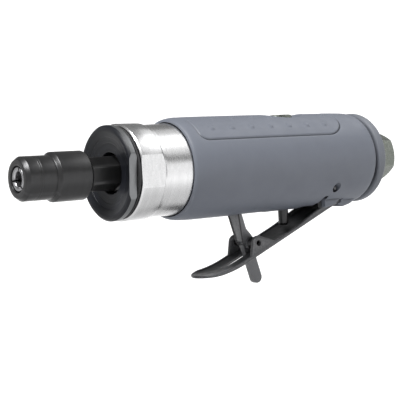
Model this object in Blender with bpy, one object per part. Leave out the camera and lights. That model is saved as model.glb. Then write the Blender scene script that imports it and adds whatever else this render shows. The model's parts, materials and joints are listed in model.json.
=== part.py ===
"""Straight air die grinder with a lever throttle.

The spindle axis lies along X through the origin, which is the middle of the grip. -X is the
collet end, +X the air inlet, and the throttle lever hangs on the -Z side. Sizes are given in
millimetres and every helper turns them into metres.
"""
import math

import bmesh
import bpy
from mathutils import Matrix, Vector

MM = 0.001

# Driving dimensions, in millimetres.
GRIP_HALF_LENGTH = 48.9          # the rubber sleeve, from the origin to either end
GRIP_RADIUS = 20.0
CROWN = 0.15                     # how much fuller the sleeve is at its middle
SLEEVE_BORE = 17.3
FIT_GAP = 0.3                    # clearance kept between pieces that touch on the real tool
HOUSING_RADIUS = SLEEVE_BORE - FIT_GAP
HOUSING_FRONT = -71.4
HOUSING_REAR = 44.0
NOSE_RING_RADIUS = 18.1
NOSE_RING_REAR = -61.3
WRENCH_FLAT = 17.1               # from the axis to each flat on the housing's nose ring
MOTOR_BORE = 14.6
MOTOR_BORE_REAR = -8.0
NUT_SEAT_BORE = 15.6
NUT_SEAT_REAR = -65.3

CLAMP_NUT_FACE = -76.0
CLAMP_NUT_RADIUS = 17.7
CLAMP_NUT_FLAT = 15.7            # half of its 31.4 mm width across flats
NUT_TURN = math.radians(5.5)     # how far the nut's flats and the spindle's hex have been left turned

COLLET_BORE = 3.175              # radius for a 6.35 mm shank
NOSE_FACE = -111.8
COLLET_NUT_REAR = -85.9
SPINDLE_HEX = 5.5                # half of its 11 mm width across flats
COLLET_SLOTS = 3

ROTOR_FRONT = -53.6
ROTOR_REAR = -17.3
ROTOR_RADIUS = 10.3
CYLINDER_BORE = 11.8
CYLINDER_OFFSET = 1.3            # the bore's axis lies this far above the rotor's
VANES = 4

PIN_X = 26.9                     # the throttle lever's hinge pin
PIN_Z = -12.1
PIN_RADIUS = 1.4
LEVER_OPEN = math.radians(21.0)  # how far the lever hangs open at rest
LEVER_HALF_WIDTH = 7.9
LEVER_SHEET = 1.5
LEVER_DROP = 9.6                 # from the hinge pin down to the lever's underside
LOCK_PIN_U = -42.2               # the lock's pivot, along the lever and above its hinge line
LOCK_PIN_W = -4.9
LOCK_PIN_RADIUS = 1.2
SLOT_HALF_WIDTH = 8.5            # the cut in the sleeve and housing that the lever's ears work in

VALVE_X = 10.5                   # the axis of the throttle plunger, valve and power regulator
VALVE_BORE = 4.6
PLUNGER_RADIUS = 2.6
PLUNGER_FOOT = -26.05

INLET_HEX = 10.0                 # half of its 20 mm width across flats
INLET_REAR = 71.5
INLET_TURN = math.radians(5.0)

LOCK_PIN_X = PIN_X + LOCK_PIN_U * math.cos(LEVER_OPEN) - LOCK_PIN_W * math.sin(LEVER_OPEN)
LOCK_PIN_Z = PIN_Z + LOCK_PIN_U * math.sin(LEVER_OPEN) + LOCK_PIN_W * math.cos(LEVER_OPEN)

# Colour, roughness and metallic value of each finish.
LOOKS = {
    "black_oxide": ((0.030, 0.031, 0.034), 0.32, 0.9),
    "clamp_black": ((0.020, 0.022, 0.028), 0.35, 0.8),
    "satin_aluminium": ((0.78, 0.78, 0.79), 0.25, 1.0),
    "grip_rubber": ((0.16, 0.175, 0.20), 0.6, 0.0),
    "cap_plastic": ((0.17, 0.18, 0.20), 0.5, 0.0),
    "lever_steel": ((0.10, 0.10, 0.105), 0.4, 0.85),
    "bright_steel": ((0.62, 0.62, 0.63), 0.22, 1.0),
    "spring_steel": ((0.42, 0.42, 0.43), 0.3, 1.0),
    "zinc_steel": ((0.26, 0.275, 0.25), 0.42, 0.9),
    "cast_iron": ((0.20, 0.20, 0.21), 0.5, 0.9),
    "brass": ((0.62, 0.46, 0.18), 0.3, 1.0),
    "seal_rubber": ((0.02, 0.02, 0.02), 0.7, 0.0),
    "felt": ((0.45, 0.43, 0.40), 0.95, 0.0),
    "vane_resin": ((0.30, 0.17, 0.08), 0.55, 0.0),
}

FINE = 36                        # sides of the large round pieces
MEDIUM = 20
SMALL = 12
WELD_DISTANCE = 0.004            # what counts as one point along a cut


# ---------------------------------------------------------------- helpers

def clear_scene():
    for item in list(bpy.data.objects):
        bpy.data.objects.remove(item, do_unlink=True)


def finish_look(name):
    """The material for one finish, made once."""
    look = bpy.data.materials.get(name)
    if look is None:
        colour, roughness, metallic = LOOKS[name]
        look = bpy.data.materials.new(name)
        look.use_nodes = True
        shader = look.node_tree.nodes["Principled BSDF"]
        shader.inputs["Base Color"].default_value = (*colour, 1.0)
        shader.inputs["Roughness"].default_value = roughness
        shader.inputs["Metallic"].default_value = metallic
    return look


def add_mesh(name, mesh_data):
    """Link a bmesh to the scene as a named object whose faces point out."""
    bmesh.ops.recalc_face_normals(mesh_data, faces=mesh_data.faces)
    if mesh_data.calc_volume(signed=True) < 0:
        bmesh.ops.reverse_faces(mesh_data, faces=mesh_data.faces)
    mesh = bpy.data.meshes.new(name)
    mesh_data.to_mesh(mesh)
    mesh_data.free()
    piece = bpy.data.objects.new(name, mesh)
    bpy.context.scene.collection.objects.link(piece)
    return piece


def finished(piece, look, sharp_degrees=35.0):
    """Give a piece its material and smooth round faces with crisp edges."""
    piece.data.materials.clear()
    piece.data.materials.append(finish_look(look))
    piece.data.shade_smooth()
    piece.data.set_sharp_from_angle(angle=math.radians(sharp_degrees))
    return piece


def guide(piece):
    """Mark a piece as a cutter that is not part of the tool."""
    piece.hide_render = True
    piece.display_type = "WIRE"
    return piece


AXIS_TURN = {
    "X": Matrix.Identity(4),
    "Z": Matrix.Rotation(-math.pi / 2, 4, "Y"),
    "Y": Matrix.Rotation(math.pi / 2, 4, "Z"),
}


def turned(name, profile, sides, axis="X", centre=(0.0, 0.0, 0.0), closed=True):
    """Spin a profile of (distance along the axis, radius) pairs about an axis.

    A closed profile makes a ring. An open one starts and ends on the axis and makes a solid.
    """
    shape = bmesh.new()
    half_side = math.pi / sides
    points = [shape.verts.new((along * MM, radius * MM * math.sin(half_side), radius * MM * math.cos(half_side)))
              for along, radius in profile]
    edges = [shape.edges.new(pair) for pair in zip(points, points[1:])]
    if closed:
        edges.append(shape.edges.new((points[-1], points[0])))
    bmesh.ops.spin(shape, geom=points + edges, cent=(0, 0, 0), axis=(1, 0, 0),
                   angle=math.tau, steps=sides, use_merge=True)
    bmesh.ops.remove_doubles(shape, verts=shape.verts, dist=0.002 * MM)
    place = Matrix.Translation(Vector(centre) * MM) @ AXIS_TURN[axis]
    bmesh.ops.transform(shape, matrix=place, verts=shape.verts)
    return add_mesh(name, shape)


def rod(name, start, end, radius, sides, axis="X", centre=(0.0, 0.0, 0.0)):
    """A plain solid cylinder between two stations on an axis."""
    return turned(name, [(start, 0.0), (start, radius), (end, radius), (end, 0.0)], sides, axis, centre, False)


def ring(name, start, end, inner, outer, sides, axis="X", centre=(0.0, 0.0, 0.0), ease=0.3):
    """A ring with eased outer edges."""
    profile = [(start, inner), (start, outer - ease), (start + ease, outer),
               (end - ease, outer), (end, outer - ease), (end, inner)]
    return turned(name, profile, sides, axis, centre)


def torus(name, major, minor, sides, axis="X", centre=(0.0, 0.0, 0.0), facets=6):
    """An O-ring."""
    profile = []
    for step in range(facets):
        angle = math.tau * step / facets
        profile.append((minor * math.cos(angle), major + minor * math.sin(angle)))
    return turned(name, profile, sides, axis, centre)


def prism(name, outline, low, high, axis="Y"):
    """Extrude an outline from low to high along an axis.

    The outline holds (x, z) pairs for axis Y, (y, z) pairs for X and (x, y) pairs for Z.
    """
    place = {
        "X": lambda a, b: (low, a, b),
        "Y": lambda a, b: (a, low, b),
        "Z": lambda a, b: (a, b, low),
    }[axis]
    direction = {"X": (1, 0, 0), "Y": (0, 1, 0), "Z": (0, 0, 1)}[axis]
    shape = bmesh.new()
    corners = [shape.verts.new(Vector(place(a, b)) * MM) for a, b in outline]
    base = shape.faces.new(corners)
    pushed = bmesh.ops.extrude_face_region(shape, geom=[base])
    moved = [item for item in pushed["geom"] if isinstance(item, bmesh.types.BMVert)]
    bmesh.ops.translate(shape, verts=moved, vec=Vector(direction) * (high - low) * MM)
    return add_mesh(name, shape)


def box(name, low, high):
    """A box between two opposite corners."""
    outline = [(low[0], low[2]), (high[0], low[2]), (high[0], high[2]), (low[0], high[2])]
    return prism(name, outline, low[1], high[1])


def arc(centre, radius, start_degrees, end_degrees, steps):
    """Points on an arc, both ends included."""
    points = []
    for step in range(steps + 1):
        angle = math.radians(start_degrees + (end_degrees - start_degrees) * step / steps)
        points.append((centre[0] + radius * math.cos(angle), centre[1] + radius * math.sin(angle)))
    return points


def polygon(across_flats, sides, turn):
    """A regular polygon as (y, z) pairs, one flat facing -Y when turn is zero.

    across_flats is the distance from the centre to a flat.
    """
    radius = across_flats / math.cos(math.pi / sides)
    points = []
    for step in range(sides):
        angle = math.pi + turn + math.pi * (2 * step + 1) / sides
        points.append((radius * math.cos(angle), radius * math.sin(angle)))
    return points


def combine(piece, tool, operation):
    """Join, cut or intersect a piece with a guide, then weld the slivers along the cut."""
    step = piece.modifiers.new(tool.name, "BOOLEAN")
    step.operation = operation
    step.solver = "EXACT"
    step.object = guide(tool)
    weld = piece.modifiers.new(tool.name + "_weld", "WELD")
    weld.merge_threshold = WELD_DISTANCE * MM
    return piece


def cut(piece, *tools):
    for tool in tools:
        combine(piece, tool, "DIFFERENCE")
    return piece


def join(piece, *tools):
    for tool in tools:
        combine(piece, tool, "UNION")
    return piece


def hinge(name, x, z, tilt=0.0):
    """An empty on a joint's axis, which lies along Y through (x, z)."""
    empty = bpy.data.objects.new(name, None)
    empty.location = (x * MM, 0.0, z * MM)
    empty.rotation_euler = (0.0, -tilt, 0.0)
    bpy.context.scene.collection.objects.link(empty)
    return empty


def hang(empty, *pieces):
    """Parent pieces, and the guides that shape them, to an empty, in the empty's own frame."""
    for piece in pieces:
        piece.parent = empty
        for step in piece.modifiers:
            if step.type == "BOOLEAN":
                step.object.parent = empty


def pivot(piece, x, z):
    """Put the origin of a piece modelled in the tool's frame on an axis through (x, z)."""
    offset = Vector((x * MM, 0.0, z * MM))
    piece.data.transform(Matrix.Translation(-offset))
    piece.location = offset


# ---------------------------------------------------------------- shared cutters

def lever_slot(name):
    """The space the lever's rear ears swing in."""
    outline = [(15.5, -30.0), (15.5, -16.4), (17.0, -14.4), (21.6, -8.3), (31.4, -8.3),
               (33.2, -10.6), (39.0, -14.4), (40.4, -17.0), (40.4, -30.0)]
    return prism(name, outline, -SLOT_HALF_WIDTH, SLOT_HALF_WIDTH)


def lock_pocket(name):
    """The relief that the lock lever's arm swings through, shaped as the arm's own path."""
    half_width = 3.95
    outline = [(-17.1, -20.6), (-14.2, -18.2), (-11.2, -16.8), (-8.4, -16.5),
               (-5.8, -16.7), (-3.6, -17.7), (-1.2, -20.3), (-1.2, -22.0), (-17.1, -22.0)]
    return prism(name, outline, -half_width, half_width)


def hinge_hole(name):
    """The cross hole that the lever's pin is pressed through."""
    return rod(name, -GRIP_RADIUS - 2, GRIP_RADIUS + 2, PIN_RADIUS + 0.2, SMALL, "Y", (PIN_X, 0, PIN_Z))


# ---------------------------------------------------------------- casings

def motor_housing():
    """The aluminium body: motor bore, valve bore and inlet bore in one piece."""
    outer = [(HOUSING_FRONT, 0.0), (HOUSING_FRONT, 17.7), (HOUSING_FRONT + 0.4, NOSE_RING_RADIUS),
             (NOSE_RING_REAR - 0.4, NOSE_RING_RADIUS), (NOSE_RING_REAR, 17.4), (-56.0, 17.45),
             (-49.2, 17.85), (-47.5, 17.85), (-47.3, HOUSING_RADIUS), (HOUSING_REAR - 0.5, HOUSING_RADIUS),
             (HOUSING_REAR, HOUSING_RADIUS - 0.5), (HOUSING_REAR, 0.0)]
    housing = turned("motor_housing", outer, FINE, closed=False)
    motor_bore = turned("motor_bore_cut", [
        (HOUSING_FRONT - 1, 0.0), (HOUSING_FRONT - 1, NUT_SEAT_BORE), (NUT_SEAT_REAR, NUT_SEAT_BORE),
        (NUT_SEAT_REAR, MOTOR_BORE), (MOTOR_BORE_REAR, MOTOR_BORE), (MOTOR_BORE_REAR, 0.0)], FINE, closed=False)
    inlet_bore = turned("inlet_bore_cut", [
        (VALVE_X, 0.0), (VALVE_X, 4.0), (32.2, 4.0), (32.2, 7.7), (42.4, 7.7), (42.4, 9.1),
        (HOUSING_REAR + 1, 9.1), (HOUSING_REAR + 1, 0.0)], MEDIUM, closed=False)
    cut(housing, motor_bore, inlet_bore, lever_slot("housing_slot_cut"), hinge_hole("housing_pin_cut"),
        lock_pocket("housing_pocket_cut"))
    valve_axis = (VALVE_X, 0, 0)
    cut(housing,
        rod("valve_bore_cut", -12.4, 20.0, VALVE_BORE, MEDIUM, "Z", valve_axis),
        rod("regulator_seat_cut", 16.2, 20.0, 6.0, MEDIUM, "Z", valve_axis),
        rod("plunger_bore_cut", -20.0, -12.0, PLUNGER_RADIUS + 0.15, SMALL, "Z", valve_axis),
        rod("feed_port_cut", MOTOR_BORE_REAR - 1, VALVE_X, 1.6, SMALL, "X", (0, 0, -10.4)))
    for side in (-1, 1):
        drilling = rod(f"exhaust_drilling_cut_{side}", -50.0, HOUSING_REAR + 1, 1.9, SMALL, "X",
                       (0, 8.9 * side, 10.6))
        low = min(WRENCH_FLAT * side, 20.0 * side)
        high = max(WRENCH_FLAT * side, 20.0 * side)
        flat = box(f"housing_flat_cut_{side}", (HOUSING_FRONT - 1, low, -20), (NOSE_RING_REAR, high, 20))
        cut(housing, drilling, flat)
    return finished(housing, "satin_aluminium")


def grip_sleeve():
    """The moulded sleeve with the boss that guides the lever and the window for the regulator."""
    end = GRIP_HALF_LENGTH
    outer = [(-end, 0.0), (-end, 18.4), (-end + 0.5, 18.9), (-end + 1.8, 19.5), (-end + 4.2, 19.85),
             (-36.0, GRIP_RADIUS), (-20.0, GRIP_RADIUS + CROWN), (20.0, GRIP_RADIUS + CROWN),
             (38.0, GRIP_RADIUS), (end - 0.6, 19.75), (end, 19.3), (end, 0.0)]
    sleeve = turned("grip_sleeve", outer, FINE, closed=False)
    boss_half_width = 10.6
    boss_side = [(24.6, -10.0), (25.2, -19.6), (26.6, -20.4), (39.5, -20.6), (43.0, -19.6), (46.0, -16.0),
                 (46.0, -10.0)]
    join(sleeve, prism("lever_boss", boss_side, -boss_half_width, boss_half_width))
    bore = turned("sleeve_bore_cut", [
        (-end - 1, 0.0), (-end - 1, 18.2), (-47.0, 18.2), (-47.0, SLEEVE_BORE), (end + 1, SLEEVE_BORE),
        (end + 1, 0.0)], FINE, closed=False)
    window_radius = 7.5
    window = (arc((VALVE_X + 0.8, 0), window_radius, -90, 90, 12)
              + arc((VALVE_X - 0.8, 0), window_radius, 90, 270, 12))
    cut(sleeve, bore, lever_slot("sleeve_slot_cut"), lock_pocket("sleeve_pocket_cut"),
        hinge_hole("sleeve_pin_cut"), prism("regulator_window_cut", window, 10.0, 25.0, "Z"),
        rod("sleeve_plunger_cut", -25.0, -12.0, 3.0, SMALL, "Z", (VALVE_X, 0, 0)))
    return finished(sleeve, "grip_rubber")


def exhaust_cap():
    """The rear cap. Exhaust leaves through the gap between its rim and the sleeve."""
    profile = [(49.9, 17.5), (49.9, 19.1), (50.3, 19.5), (54.2, 19.6), (54.8, 19.2), (55.6, 18.2),
               (55.6, 7.9), (44.3, 7.9), (44.3, 9.2), (51.4, 9.2), (51.4, 17.5)]
    return finished(turned("exhaust_cap", profile, FINE), "cap_plastic")


def exhaust_muffler():
    return finished(ring("exhaust_muffler", 44.4, 51.0, 9.5, 16.9, MEDIUM), "felt")


def clamp_nut():
    """The threaded nut that clamps the motor in the housing, with two wrench flats."""
    face = CLAMP_NUT_FACE
    profile = [(face, 16.3), (face, 17.1), (face + 0.6, CLAMP_NUT_RADIUS), (face + 2.9, CLAMP_NUT_RADIUS),
               (face + 3.2, 17.4), (face + 3.2, 15.3), (-65.9, 15.3), (-65.6, 15.0), (-65.6, 10.1),
               (-69.6, 10.1), (-69.6, 8.0), (face + 1.1, 8.0)]
    nut = turned("clamp_nut", profile, FINE)
    for side in (-1, 1):
        tool = box(f"clamp_nut_flat_cut_{side}", (face - 1, CLAMP_NUT_FLAT, -20), (face + 3.2, 20, 20))
        tool.rotation_euler = (NUT_TURN + (math.pi if side < 0 else 0.0), 0, 0)
        cut(nut, tool)
    return finished(nut, "clamp_black")


def front_gasket():
    return finished(ring("front_gasket", -72.5, -71.7, 15.6, 17.5, FINE, ease=0.2), "seal_rubber")


def spindle_seal():
    return finished(ring("spindle_seal", -69.3, -66.9, 7.2, 9.8, MEDIUM), "felt")


# ---------------------------------------------------------------- air inlet

def inlet_bushing():
    """The hex bushing that the air line's fitting screws into."""
    hexagon = prism("inlet_bushing", polygon(INLET_HEX, 6, -INLET_TURN), 55.9, INLET_REAR, "X")
    blank = turned("hex_chamfer_guide", [
        (55.9, 0.0), (55.9, 10.7), (56.5, 11.6), (69.9, 11.6), (INLET_REAR, 9.7), (INLET_REAR, 0.0)],
        MEDIUM, closed=False)
    combine(hexagon, blank, "INTERSECT")
    join(hexagon, turned("bushing_neck", [(32.6, 0.0), (32.6, 7.0), (33.0, 7.4), (56.2, 7.4), (56.2, 0.0)],
                         MEDIUM, closed=False))
    bore = turned("bushing_bore_cut", [
        (31.0, 0.0), (31.0, 3.5), (56.3, 3.5), (56.3, 5.8), (58.5, 5.9), (70.7, 6.5), (INLET_REAR + 0.5, 7.3),
        (INLET_REAR + 0.5, 0.0)], MEDIUM, closed=False)
    cut(hexagon, bore)
    return finished(hexagon, "zinc_steel", 28.0)


def inlet_screen():
    """The strainer disc at the bottom of the inlet."""
    screen = rod("inlet_screen", 56.6, 57.4, 5.5, SMALL)
    hole_circle = 3.2
    holes = [(0.0, 0.0)] + arc((0, 0), hole_circle, 0, 300, 5)
    for number, (y, z) in enumerate(holes):
        cut(screen, rod(f"screen_hole_cut_{number}", 56.0, 58.0, 0.85, 10, "X", (0, y, z)))
    return finished(screen, "brass")


def inlet_o_ring():
    return finished(torus("inlet_o_ring", 8.3, 0.55, MEDIUM, "X", (43.3, 0, 0)), "seal_rubber")


# ---------------------------------------------------------------- air motor

def end_plates():
    """The two plates that carry the bearings and close the cylinder."""
    front = turned("front_end_plate", [
        (-65.2, 11.1), (-65.2, 14.0), (-64.9, 14.3), (-54.5, 14.3), (-54.2, 14.0), (-54.2, 4.7),
        (-57.8, 4.7), (-57.8, 11.1)], MEDIUM)
    rear = turned("rear_end_plate", [
        (-16.7, 3.4), (-16.7, 14.0), (-16.4, 14.3), (-8.7, 14.3), (-8.4, 14.0), (-8.4, 7.7),
        (-14.0, 7.7), (-14.0, 3.4)], MEDIUM)
    cut(front, dowel_hole("front_dowel_cut"))
    cut(rear, dowel_hole("rear_dowel_cut"), rod("plate_port_cut", -18.0, -7.0, 1.5, 16, "X", (0, 0, -10.4)))
    return [finished(front, "cast_iron"), finished(rear, "cast_iron")]


DOWEL_PLACE = (0, 6.2, -10.8)


def dowel_hole(name):
    return rod(name, -56.8, -13.2, 1.2, 16, "X", DOWEL_PLACE)


def cylinder_dowel():
    return finished(rod("cylinder_dowel", -56.5, -13.5, 1.0, 16, "X", DOWEL_PLACE), "bright_steel")


def motor_cylinder():
    """The liner. Its bore is off-centre, so the vanes' chambers grow and shrink as they turn."""
    cylinder = turned("motor_cylinder", [
        (-53.9, 0.0), (-53.9, 14.0), (-53.6, 14.3), (-17.3, 14.3), (-17.0, 14.0), (-17.0, 0.0)],
        MEDIUM, closed=False)
    cut(cylinder, rod("cylinder_bore_cut", -55.0, -16.0, CYLINDER_BORE, FINE, "X", (0, 0, CYLINDER_OFFSET)),
        dowel_hole("cylinder_dowel_cut"))
    port_half_length = 2.0
    for number, x in enumerate((-44.0, -36.0, -28.0)):
        for side in (-1, 1):
            port = box(f"exhaust_port_cut_{number}_{side}", (x - port_half_length, -1.5, 8.0),
                       (x + port_half_length, 1.5, 18.0))
            port.rotation_euler = (-side * math.radians(40.0), 0, 0)
            cut(cylinder, port)
    return finished(cylinder, "cast_iron")


def rotor():
    """The slotted rotor and its two shafts."""
    shape = turned("rotor", [
        (-77.5, 0.0), (-77.5, 3.6), (-77.1, 3.95), (ROTOR_FRONT, 3.95), (ROTOR_FRONT, ROTOR_RADIUS),
        (ROTOR_REAR, ROTOR_RADIUS), (ROTOR_REAR, 2.95), (-9.1, 2.95), (-8.8, 2.65), (-8.8, 0.0)],
        MEDIUM, closed=False)
    for number in range(VANES):
        slot = box(f"vane_slot_cut_{number}", (ROTOR_FRONT - 1, -0.95, 4.9), (ROTOR_REAR + 1, 0.95, 12.0))
        slot.rotation_euler = (math.tau * (number + 0.5) / VANES, 0, 0)
        cut(shape, slot)
    return finished(shape, "bright_steel")


def vane(number):
    """A sliding vane, drawn fully into its slot."""
    piece = box(f"vane_{number + 1}", (ROTOR_FRONT + 0.2, -0.7, 5.2), (ROTOR_REAR - 0.2, 0.7, 10.1))
    piece.rotation_euler = (math.tau * (number + 0.5) / VANES, 0, 0)
    return finished(piece, "vane_resin")


def bearing(name, start, end, bore, inner_shoulder, outer_shoulder, outside, balls):
    """A ball bearing as its two races and its balls in their cage."""
    outer = ring(f"{name}_outer_race", start, end, outer_shoulder, outside, MEDIUM)
    inner = turned(f"{name}_inner_race", [
        (start, bore), (start, inner_shoulder), (end, inner_shoulder), (end, bore)], MEDIUM)
    middle = (start + end) / 2
    pitch = (inner_shoulder + outer_shoulder) / 2
    ball_radius = (outer_shoulder - inner_shoulder) / 2 - 0.2
    cage_half_width = ball_radius * 0.45
    cage = turned(f"{name}_balls", [
        (middle - cage_half_width, pitch - 0.4), (middle - cage_half_width, pitch + 0.4),
        (middle + cage_half_width, pitch + 0.4), (middle + cage_half_width, pitch - 0.4)], balls * 3)
    for number in range(balls):
        angle = math.tau * number / balls
        shape = bmesh.new()
        bmesh.ops.create_uvsphere(shape, u_segments=6, v_segments=4, radius=ball_radius * MM)
        seat = Vector((middle, pitch * math.cos(angle), pitch * math.sin(angle))) * MM
        bmesh.ops.translate(shape, verts=shape.verts, vec=seat)
        join(cage, add_mesh(f"{name}_ball_guide_{number}", shape))
    return [finished(outer, "bright_steel"), finished(inner, "bright_steel"), finished(cage, "brass")]


# ---------------------------------------------------------------- collet end

def collet_body():
    """The spindle nose: collet seat and thread, wrench hexagon, and the shoulder that meets the bearing."""
    nose = turned("collet_body", [
        (-98.6, 0.0), (-98.6, 6.3), (-98.2, 6.7), (-87.8, 6.7), (-87.4, 6.2), (-85.8, 6.2), (-85.8, 5.2),
        (-85.2, 5.2), (-85.2, 0.0)], MEDIUM, closed=False)
    join(nose, prism("spindle_hex", polygon(SPINDLE_HEX, 6, NUT_TURN), -85.8, -76.4, "X"))
    join(nose, turned("spindle_shoulder", [
        (-77.0, 0.0), (-77.0, 5.2), (-76.4, 5.2), (-76.4, 6.6), (-76.0, 6.9), (-66.4, 6.9), (-66.4, 5.8),
        (-65.2, 5.8), (-65.2, 0.0)], MEDIUM, closed=False))
    cut(nose, turned("collet_seat_cut", [
        (-99.6, 0.0), (-99.6, 6.0), (-98.6, 5.95), (-91.0, 5.1), (-91.0, 3.5), (-78.3, 3.5), (-78.3, 4.2),
        (-64.0, 4.2), (-64.0, 0.0)], MEDIUM, closed=False))
    return finished(nose, "black_oxide")


def collet():
    """The slotted collet that grips the shank."""
    bore = COLLET_BORE
    piece = turned("collet", [
        (-111.5, bore + 0.2), (-111.5, 4.1), (-111.2, 4.3), (-108.8, 4.3), (-106.3, 5.5), (-99.0, 5.5),
        (-91.5, 4.75), (-91.5, bore), (-111.3, bore)], MEDIUM)
    for number in range(COLLET_SLOTS):
        slot = box(f"collet_slot_cut_{number}", (-113.0, -0.4, 1.0), (-95.0, 0.4, 7.0))
        slot.rotation_euler = (math.tau * number / COLLET_SLOTS + math.radians(20.0), 0, 0)
        cut(piece, slot)
    return finished(piece, "bright_steel")


def collet_nut():
    """The nut that draws the collet into its seat."""
    profile = [(NOSE_FACE, 4.9), (NOSE_FACE, 6.9), (-110.3, 7.85), (-100.3, 7.85), (-99.9, 7.7),
               (-99.5, 7.85), (-98.7, 8.92), (-86.7, 8.92), (COLLET_NUT_REAR, 8.2), (COLLET_NUT_REAR, 7.4),
               (-86.3, 7.0), (-98.95, 7.0), (-98.95, 5.95), (-106.6, 5.95), (-109.2, 4.65), (-111.5, 4.65)]
    return finished(turned("collet_nut", profile, MEDIUM), "black_oxide")


# ---------------------------------------------------------------- throttle

def lever_sheet(name):
    """The pressed sheet of the lever in its own frame: flat behind, a rimmed spoon in front."""
    under = -LEVER_DROP
    bend = -49.0                     # where the finger rest starts to curve up
    curve_radius = 58.0
    tip = -71.8
    end_radius = LEVER_HALF_WIDTH
    stations = [7.0, -30.0, bend, -53.0, -57.0, -61.0, -64.5, -67.5, -69.7, -71.1, tip]
    shape = bmesh.new()
    sections = []
    for u in stations:
        reach = max(0.0, bend - u)
        lift = reach * reach / (2 * curve_radius)
        slope = reach / curve_radius
        from_centre = max(0.0, (tip + end_radius) - u)
        half = math.sqrt(max(end_radius ** 2 - from_centre ** 2, 1.2 ** 2))
        rim = 0.9 * min(1.0, reach / 3.0)
        wall = 1.3
        low = under + lift
        top = low + LEVER_SHEET
        outline = [(-half, low + 0.3), (-half + 0.5, low), (half - 0.5, low), (half, low + 0.3),
                   (half, top + rim), (half - min(wall, half * 0.4), top + rim),
                   (half - min(wall + 0.8, half * 0.6), top), (-half + min(wall + 0.8, half * 0.6), top),
                   (-half + min(wall, half * 0.4), top + rim), (-half, top + rim)]
        sections.append([shape.verts.new(Vector((u + slope * (w - low), y, w)) * MM) for y, w in outline])
    count = len(sections[0])
    for near, far in zip(sections, sections[1:]):
        for index in range(count):
            following = (index + 1) % count
            shape.faces.new((near[index], near[following], far[following], far[index]))
    shape.faces.new(sections[0])
    shape.faces.new(sections[-1])
    return add_mesh(name, shape)


def throttle_lever():
    """The lever, modelled in its own frame: its hinge pin is the origin and u runs along it."""
    floor = -LEVER_DROP + 0.4
    rear_ear = [(-3.9, floor), (-3.5, -2.0)] + arc((0, 0), 3.4, 170, 10, 10) + [(3.6, -2.0), (5.5, floor)]
    lock = (LOCK_PIN_U, LOCK_PIN_W)
    front_ear = ([(-47.2, floor), (-45.6, -4.4)] + arc(lock, 3.4, 165, 40, 8) + [(-35.2, -8.3), (-34.8, floor)])
    lever = lever_sheet("throttle_lever")
    inner = LEVER_HALF_WIDTH - LEVER_SHEET
    for side in (-1, 1):
        low = min(side * inner, side * LEVER_HALF_WIDTH)
        high = max(side * inner, side * LEVER_HALF_WIDTH)
        join(lever, prism(f"rear_ear_guide_{side}", rear_ear, low, high),
             prism(f"front_ear_guide_{side}", front_ear, low, high))
    slot_half_width = 1.75
    cut(lever,
        rod("lever_pin_cut", -9.0, 9.0, PIN_RADIUS + 0.1, SMALL, "Y"),
        rod("lock_pin_cut", -9.0, 9.0, LOCK_PIN_RADIUS + 0.1, 20, "Y", (LOCK_PIN_U, 0, LOCK_PIN_W)),
        box("lock_slot_cut", (-61.3, -slot_half_width, -12.0), (-39.2, slot_half_width, -4.0)))
    frame = hinge("throttle_hinge", PIN_X, PIN_Z, LEVER_OPEN)
    hang(frame, lever)
    return finished(lever, "lever_steel")


def lever_pin():
    pin = turned("lever_pin", [(-14.2, 0.0), (-14.2, 1.1), (-13.9, PIN_RADIUS), (13.9, PIN_RADIUS),
                               (14.2, 1.1), (14.2, 0.0)], SMALL, "Y", (PIN_X, 0, PIN_Z), False)
    return finished(pin, "spring_steel")


def lock_lever():
    """The lock: a strut that stands against the sleeve, a hub on the pin and a finger tab below."""
    px, pz = LOCK_PIN_X, LOCK_PIN_Z
    hub = rod("lock_lever", -2.6, 2.6, 2.8, SMALL, "Y", (px, 0, pz))
    strut = strut_guide(px, pz)
    cheek = [(px - 4.7, pz + 10.2), (px - 3.5, pz + 9.0), (px - 0.9, pz + 3.9), (px + 2.2, pz + 1.2),
             (px + 1.0, pz - 2.0), (px - 2.5, pz - 0.6), (px - 3.6, pz + 2.0)]
    tab_half_width = 2.45
    lean = math.radians(17.4)
    tab_end = 15.3
    centre = (px - 0.6 + tab_end * math.sin(lean), pz - tab_end * math.cos(lean))
    across = (tab_half_width * math.cos(lean), tab_half_width * math.sin(lean))
    tab = ([(px - 0.6 - across[0], pz - across[1])]
           + arc(centre, tab_half_width, -180 + math.degrees(lean), math.degrees(lean), 12)
           + [(px - 0.6 + across[0], pz + across[1])])
    join(hub, prism("lock_tab_guide", tab, -1.25, 1.25), strut)
    for side in (-1, 1):
        low = min(side * 1.1, side * 2.3)
        high = max(side * 1.1, side * 2.3)
        join(hub, prism(f"lock_cheek_guide_{side}", cheek, low, high))
    cut(hub, rod("lock_bore_cut", -4.0, 4.0, LOCK_PIN_RADIUS + 0.15, 20, "Y", (px, 0, pz)))
    pivot(hub, px, pz)
    return finished(hub, "lever_steel")


def strut_guide(px, pz):
    """The lock's front web, wider at the top, which narrows down to the hub."""
    top, bottom = pz + 11.3, pz + 0.6
    rows = [(top, px - 5.75, 3.5), (bottom, px - 3.4, 1.9)]
    thickness = 1.5
    shape = bmesh.new()
    loops = []
    for z, x, half in rows:
        loops.append([shape.verts.new(Vector(point) * MM) for point in (
            (x, -half, z), (x, half, z), (x + thickness, half, z), (x + thickness, -half, z))])
    for index in range(4):
        following = (index + 1) % 4
        shape.faces.new((loops[0][index], loops[0][following], loops[1][following], loops[1][index]))
    shape.faces.new(loops[0])
    shape.faces.new(loops[1])
    return add_mesh("lock_strut_guide", shape)


def lock_pin():
    """The lock's hollow pin, held by the lever's front ears."""
    pin = turned("lock_pin", [(-7.3, 0.6), (-7.3, LOCK_PIN_RADIUS), (7.3, LOCK_PIN_RADIUS), (7.3, 0.6)],
                 20, "Y", (LOCK_PIN_X, 0, LOCK_PIN_Z))
    return finished(pin, "spring_steel")


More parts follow.
